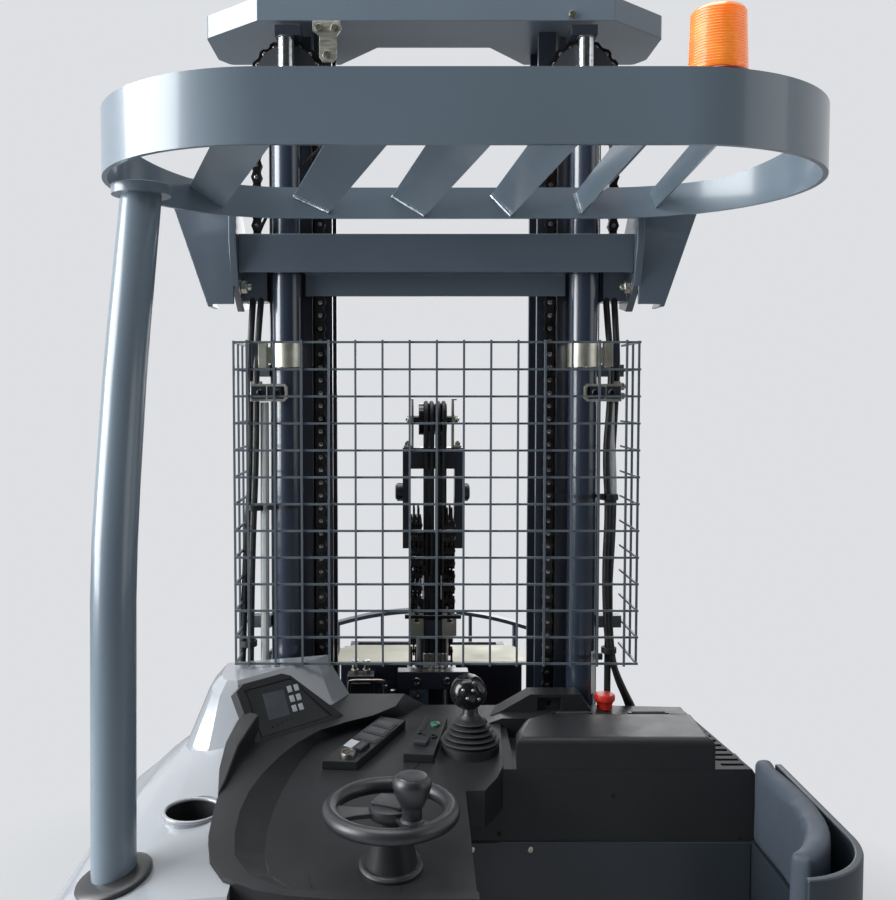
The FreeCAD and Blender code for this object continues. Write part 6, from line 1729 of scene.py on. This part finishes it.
@dataclass(frozen=True)
class Display(Section):
    """Display unit: dark glass, screen, two columns of blank keys and a row of lamps."""

    corner: Point = (-321.0, 437.0, 1208.0)
    along: Point = (0.81246, 0.57799, 0.07634)
    lean: Point = (-0.35376, 0.38311, 0.85329)
    sunk: float = 2.4
    keys: Outline = ((93.5, 76.5), (107.5, 76), (92.5, 58.5), (106, 58), (91, 40.5), (104.5, 40))

    def on(self, across: float = 0.0, up: float = 0.0, lift: float = 0.0) -> Matrix:
        """Place on the display's face.

        Args:
            across: Millimetres along its lower edge.
            up: Millimetres up the face.
            lift: Millimetres over the face.

        Returns:
            The matrix of that place.
        """
        side, rise = Vector(self.along), Vector(self.lean)
        out = side.cross(rise).normalized()
        move = side * across + rise * up + out * (lift - self.sunk)
        return self.works.spot(*self.corner) @ shift(*move) @ Matrix((side, rise, out)).transposed().to_4x4()

    def build(self) -> None:
        """Builds the display's face."""
        works = self.works
        pane = works.plate("display_pane", [(14, 9), (152, 9), (104, 93), (12, 93)], 1.4, self.on(), 0.5)
        works.ship(pane, Finish.SCREEN)
        outline = [(36, 33), (79, 32), (82, 79), (39, 81)]
        works.ship(works.plate("display_screen", outline, 0.6, self.on(lift=1.4), 0.3), Finish.PANEL)
        key = works.plate("display_keys", rect(-4.6, 4.6, -6, 6), 1.6, edge=1.2)
        keys = [self.on(across, up, 1.2) for across, up in self.keys]
        works.ship_copies(key, keys, Finish.KEY, "chassis", "light_cover")
        lamp = works.turned("display_lamps", [(1.6, 0), (1.6, 0.8), (1, 1.2)], sides=12)
        lamps = [self.on(40 + 10 * index, 20 + 1.5 * index, 1.4) for index in range(5)]
        works.ship_copies(lamp, lamps, Finish.SEAM)


@dataclass(frozen=True)
class Bolster(Section):
    """Side rest at the operator's hip: a pebbled skin that swells over its foam."""

    voxel: float = 0.005
    inset: float = 3.0
    swell: float = 2.5
    frames: int = 12
    pressure: float = 1.6

    def fill(self, pad: Piece) -> None:
        """Swells the pad as a cloth under inner pressure, held close to its shape.

        Args:
            pad: Pad to swell.
        """
        rest = [vertex.co.copy() for vertex in pad.data.vertices]
        self.works.pick(pad)
        cloth = pad.modifiers.new("cloth", "CLOTH")
        cloth.settings.use_pressure = True
        cloth.settings.uniform_pressure_force = self.pressure
        cloth.settings.effector_weights.gravity = 0.0
        cloth.settings.quality = 4
        for number in range(1, self.frames + 1):
            bpy.context.scene.frame_set(number)
        bpy.ops.object.modifier_apply(modifier="cloth")
        bpy.context.scene.frame_set(1)
        for vertex, before in zip(pad.data.vertices, rest):
            move = vertex.co - before
            if move.length > self.swell * MM:
                vertex.co = before + move.normalized() * self.swell * MM

    def build(self) -> None:
        works = self.works
        pad = works.copy_node("side_bolster", "side_rest")
        bpy.ops.transform.shrink_fatten(value=-self.inset * MM)
        works.apply(pad, "REMESH", mode="VOXEL", voxel_size=self.voxel)
        works.apply(pad, "SMOOTH", factor=0.8, iterations=9)
        self.fill(pad)
        works.apply(pad, "SUBSURF", levels=1, render_levels=1)
        works.ship(pad, Finish.BOLSTER, "chassis", "bolster_foam", 80.0, ("side_bolster",))


@dataclass(frozen=True)
class DeckTrim(Section):
    """Cup lip, pod fin, emergency button, screws and body seams round the operator's place."""

    fin: Outline = ((-350, 299), (-347, 330), (-342, 380), (-324, 440), (-318, 456), (-346, 468), (-356, 440),
                    (-366, 388), (-366, 330), (-357, 268))
    screw: Outline = ((5.4, 0), (5.4, 1.2), (4.2, 2.4), (1.9, 2.4), (1.7, 1.0))
    seams: tuple[Outline, ...] = (
        ((-66, 60), (-66, 250), (-60, 330), (-52, 380), (-36, 412)), ((-196, 100), (-192, 60), (-150, 40)),
    )

    def fairing(self) -> None:
        """Raises the black fin that runs from the display down along the outer edge of the rim."""
        works = self.works
        fin = works.plate("pod_fairing", self.fin, 130, works.spot(0, 0, 1180), 0)
        works.edit(fin)
        cut = {"plane_co": works.at(-350, 268, 1187), "plane_no": (0.0, -0.36, 1.0)}
        bpy.ops.mesh.bisect(**cut, use_fill=True, clear_outer=True)
        works.ship(works.soften(works.outward(fin), 3.0, 3), Finish.BLACK, angle=40.0)

    def build(self) -> None:
        """Builds the trim."""
        works = self.works
        lip = works.ring("cup_lip", 44.5, 3.2, works.at(-394, 256, 1168), 48, 12)
        works.ship(lip, Finish.COVER, "chassis", "light_cover")
        self.fairing()
        shape = [(15, 1), (15, 10), (17, 14), (20, 18), (20, 26), (18, 29), (8, 29.6)]
        cap = works.turned("stop_button", shape, works.spot(327, 613, 1213.4), 40)
        works.ship(cap, Finish.STOP, "chassis", "red_button", replaces=("emergency_button",))
        screw = works.turned("knee_screws", self.screw, sides=18)
        works.ship_copies(screw, [works.facing(x, 400.6, 1036) for x in (56, 157)], Finish.ZINC, *ON_MAST)
        plug = works.turned("wall_plugs", [(4, 0), (4, 0.6), (3, 1)], sides=18)
        plugs = [works.facing(x, 403.7, z) for x, z in ((104, 1062), (520, 1056), (300, 1130))]
        works.ship_copies(plug, plugs, Finish.SEAM)
        pipes = [
            works.pipe("deck_seams", [works.at(x, y, works.deck(y) + 0.2) for x, y in run], 0.9, 1)
            for run in self.seams
        ]
        works.ship_all("deck_seams", pipes, Finish.SEAM)


# ------------------------------------------------------------------ guard, running gear and floor


@dataclass(frozen=True)
class GuardTrim(Section):
    """Pillar seal, weld beads and beacon of the overhead guard."""

    front: float = 600.0
    louvre_z: float = 2198.0
    beacon_place: Point = (371.0, 115.0, 2251.3)
    louvres: tuple[tuple[float, float, float], ...] = (
        (-470, 24, 72), (-266, 24, 74), (-81, 31, 72), (105, 45, 54), (263, 72, 39), (401, 70, 31),
    )
    seal_slope: Point = (-0.27, -0.079, 1.0)
    ribs: int = 20

    def welds(self) -> None:
        """Lays a bright weld bead along the far end of each louvre."""
        works, beads = self.works, []
        for x, tilt, width in self.louvres:
            lean = math.radians(tilt)
            foot = (x - 7 * math.sin(lean), self.front - 10.5, self.louvre_z - 7 * math.cos(lean))
            tip = (foot[0] + width * math.cos(lean), foot[1], foot[2] - width * math.sin(lean))
            beads.append(works.bead("louvre_welds", works.at(*foot), works.at(*tip), 3.6))
        works.ship_all("louvre_welds", beads, Finish.WELD, *ON_MAST)

    def beacon(self) -> None:
        """Builds the ribbed beacon on its base, standing for its CAD node."""
        works, foot, home = self.works, self.works.spot(*self.beacon_place), ("chassis", "amber_lens")
        base = [(44, 0), (45, 2), (45, 9), (43, 12), (38, 14)]
        works.ship(works.turned("beacon_base", base, foot, 48), Finish.AMBER_BASE, *home)
        lens = [(39, 14.2), (40, 16)]
        for rib in range(self.ribs):
            height, edge = 18 + rib * 3.8, 40.2 - rib * 0.14
            lens += [(edge - inset, height + up) for inset, up in ((0, 0), (0.7, 1.2), (0.7, 2.4), (0, 3.4))]
        lens += [(35, 98), (28, 101.5), (15, 104.6), (4, 105.4)]
        works.ship(works.turned("beacon_lens", lens, foot, 56), Finish.AMBER, *home, 50.0, ("beacon",))
        core = [(14, 14.4), (14, 60), (11, 84), (6, 90)]
        works.ship(works.turned("beacon_core", core, foot, 24), Finish.KEY, *home)

    def build(self) -> None:
        """Seats the pillar's foot in a dark rubber seal and builds the rest of the trim."""
        works = self.works
        lie = Vector(self.seal_slope).to_track_quat("Z", "Y").to_matrix().to_4x4()
        profile = [(54, -7), (56, 0), (54, 3), (45, 6), (33, 7.5)]
        seal = works.turned("pillar_seal", profile, works.spot(-474, 105, 1139) @ lie, 56)
        works.ship(seal, Finish.GRIP, angle=40.0)
        self.welds()
        self.beacon()


@dataclass(frozen=True)
class RunningGear(Section):
    """Hub bolts, axle caps, scissor pin caps and floor mat."""

    drive: Point = (-290.0, 200.0, 127.0)
    bolt_circle: float = 62.0
    bolt_count: int = 7
    cap: Outline = ((24, 0), (24, 3), (20, 6), (12, 6.5), (11, 5), (4, 5))
    mat: tuple[float, float, float, float] = (50.0, 530.0, 16.0, 396.0)
    mat_z: float = 240.2
    mat_margin: float = 12.0
    rib_pitch: float = 15.0

    def hub(self) -> None:
        """Bolts the drive wheel's hub."""
        works = self.works
        places = [
            works.spot(*self.drive) @ turn(360 * step / self.bolt_count, "X")
            @ shift(-50.3, 0, self.bolt_circle) @ turn(-90, "Y")
            for step in range(self.bolt_count)
        ]
        bolt = works.bolt("hub_bolts", 17.0, 7.0)
        works.ship_copies(bolt, places, Finish.WORN, "drive_roller", "zinc_steel")

    def floor(self) -> None:
        """Lays the ribbed rubber mat of the operator's platform."""
        works, (left, right, near, far) = self.works, self.mat
        sheet = works.plate("floor_mat", rect(*self.mat), 3.5, works.spot(0, 0, self.mat_z), 1.0)
        half = (right - left) / 2 - self.mat_margin
        rib = works.plate("mat_ribs", rect(-half, half, -3, 3), 5.5, edge=1.2)
        count = int((far - near - 2 * self.mat_margin) / self.rib_pitch) + 1
        middle, first = (left + right) / 2, near + 14
        places = [works.spot(middle, first + step * self.rib_pitch, self.mat_z) for step in range(count)]
        mat = works.joined("floor_mat", [sheet, works.repeat(rib, places)])
        works.ship(mat, Finish.BELLOWS, angle=30.0)

    def build(self) -> None:
        """Builds the running gear's trim and the mat."""
        works = self.works
        self.hub()
        for name, place, inward, body in (
            ("axle_caps", (469.8, 1800, 105), True, "chassis"),
            ("scissor_caps", (170.2, 1175.9, 663.4), False, "outer_scissor"),
        ):
            places = [works.sided(side, *place, inward=inward) for side in BOTH]
            works.ship_copies(works.turned(name, self.cap, sides=28), places, Finish.WORN, body, "zinc_steel")
        self.floor()


# ------------------------------------------------------------------ studio


@dataclass(frozen=True)
class Lamp:
    """One soft studio lamp that faces a point."""

    name: str
    place: Point
    target: Point
    width: float
    height: float
    power: float
    colour: Point = (1.0, 1.0, 1.0)

    def hang(self) -> None:
        """Adds the lamp to the scene."""
        data = bpy.data.lights.new(self.name, "AREA")
        data.shape = "RECTANGLE"
        data.size = self.width
        data.size_y = self.height
        data.energy = self.power
        data.color = self.colour
        lamp = bpy.data.objects.new(self.name, data)
        bpy.context.scene.collection.objects.link(lamp)
        lamp.location = self.place
        direction = Vector(self.target) - Vector(self.place)
        lamp.rotation_euler = direction.to_track_quat("-Z", "Y").to_euler()


@dataclass(frozen=True)
class Studio:
    """Camera, floor, backdrop and lamps."""

    rear: float
    backdrop: Colour = (222, 224, 227)
    floor_tones: tuple[Colour, Colour] = ((168, 169, 171), (174, 175, 177))
    camera_side: float = -0.060
    camera_height: float = 1.830
    camera_back: float = 1.250
    camera_pitch: float = 87.24
    lens: float = 39.0
    camera_shift: tuple[float, float] = (0.048, -0.0144)
    fill: float = 0.3
    fill_colour: Linear = (0.88, 0.94, 1.0, 1.0)
    behind: float = 0.06
    depth_range: tuple[float, float] = (-0.75, 0.25)
    side_range: tuple[float, float] = (-0.95, -0.2)
    floor_near: float = 1.0
    floor_far: float = 2.3

    def camera(self) -> None:
        """Adds the camera behind the operator's place."""
        data = bpy.data.cameras.new("camera")
        data.lens = self.lens
        data.sensor_width = 36.0
        data.shift_x, data.shift_y = self.camera_shift
        data.clip_start = 0.05
        eye = bpy.data.objects.new("camera", data)
        eye.location = (self.camera_side, self.rear - self.camera_back, self.camera_height)
        eye.rotation_euler = (math.radians(self.camera_pitch), 0.0, 0.0)
        bpy.context.scene.collection.objects.link(eye)
        bpy.context.scene.camera = eye

    def world(self) -> None:
        """Sets a soft even world that the camera, gloss and glass see as the backdrop."""
        world = bpy.data.worlds.new("studio")
        bpy.context.scene.world = world
        tree = Tree(world)
        tree.nodes.clear()
        place = tree.add("TexCoord", "Generated", {})
        parts = tree.add("SeparateXYZ", "X", {"Vector": place}).node.outputs
        names = ("Value", "From Min", "From Max", "To Min", "To Max")
        rows = (parts["Y"], *self.depth_range, self.behind, 1.0), (parts["X"], *self.side_range, 1.0, 0.0)
        depth, side = (
            tree.add("MapRange", "Result", dict(zip(names, row)), interpolation_type="SMOOTHSTEP")
            for row in rows
        )
        path = tree.add("LightPath", "Is Camera Ray", {})
        strength = tree.math("MAXIMUM", tree.math("MAXIMUM", depth, side), path)
        seen = tree.add("Background", "Background", {"Color": linear(self.backdrop), "Strength": strength})
        fill = tree.add("Background", "Background", {"Color": self.fill_colour, "Strength": self.fill})
        sight = path
        for ray in ("Is Glossy Ray", "Is Transmission Ray"):
            sight = tree.math("MAXIMUM", sight, path.node.outputs[ray])
        mix = tree.add("MixShader", "Shader", {"Fac": sight, 1: fill, 2: seen})
        tree.feed(tree.nodes.new("ShaderNodeOutputWorld"), {"Surface": mix})

    def floor(self) -> None:
        """Adds a plain pale floor that keeps the truck's shadow and meets the backdrop without a line."""
        bpy.ops.object.select_all(action="DESELECT")
        bpy.ops.mesh.primitive_circle_add(vertices=64, radius=14.0, fill_type="NGON")
        floor = bpy.context.object
        floor.name = "studio_floor"
        shader = Shader("studio_floor")
        tones = [linear(tone) for tone in self.floor_tones]
        shader.set(Base_Color=shader.ramp(shader.noise(0.8, 2.0), 0.2, 0.8, *tones), Roughness=0.85)
        distance = shader.add("VectorMath", "Value", {0: shader.coordinates}, operation="LENGTH")
        edge = {"Value": distance, "From Min": self.floor_near, "From Max": self.floor_far}
        far = shader.add("MapRange", "Result", edge)
        both = shader.math("MULTIPLY", shader.add("LightPath", "Is Camera Ray", {}), far)
        glow = shader.add("Emission", "Emission", {"Color": linear(self.backdrop)})
        mix = shader.add("MixShader", "Shader", {"Fac": both, 1: shader.surface.outputs["BSDF"], 2: glow})
        shader.feed(shader.nodes["Material Output"], {"Surface": mix})
        floor.data.materials.append(shader.material)
        floor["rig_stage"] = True

    def lamps(self) -> None:
        """Hangs the studio's lamps."""
        middle = (0.0, self.rear + 0.6, 1.5)
        for lamp in (
            Lamp("key_left", (-4.4, self.rear - 0.4, 2.9), middle, 3.4, 3.6, 430.0, (0.94, 0.98, 1.0)),
            Lamp("fill_right", (4.4, self.rear - 1.6, 2.6), middle, 2.4, 3.0, 26.0, (0.96, 0.98, 1.0)),
            Lamp("top", (-0.6, -0.4, 5.2), (0.0, -0.6, 1.0), 3.4, 3.4, 150.0),
            Lamp("front", (1.4, 5.0, 3.2), (0.0, 0.0, 1.2), 3.0, 3.0, 64.0),
        ):
            lamp.hang()

    def build(self) -> None:
        """Builds the studio."""
        bpy.context.scene.view_settings.view_transform = "Standard"
        self.camera()
        self.world()
        self.floor()
        self.lamps()


def main() -> None:
    """Builds the truck's looks round the frame."""
    logging.basicConfig(level=logging.INFO, format="%(name)s: %(message)s")
    frame_box = [list(corner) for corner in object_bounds()]
    works = Works(rear=frame_box[0][1])
    Studio(works.rear).build()
    for section in (
        Skins, LeafChain, MastTrim, FreeLiftTrim, CarriageTrim, Steering, Lever, Switches, Display, Bolster,
        DeckTrim, GuardTrim, RunningGear,
    ):
        section(works).build()
    bpy.context.view_layer.update()


if __name__ == "__main__":
    main()
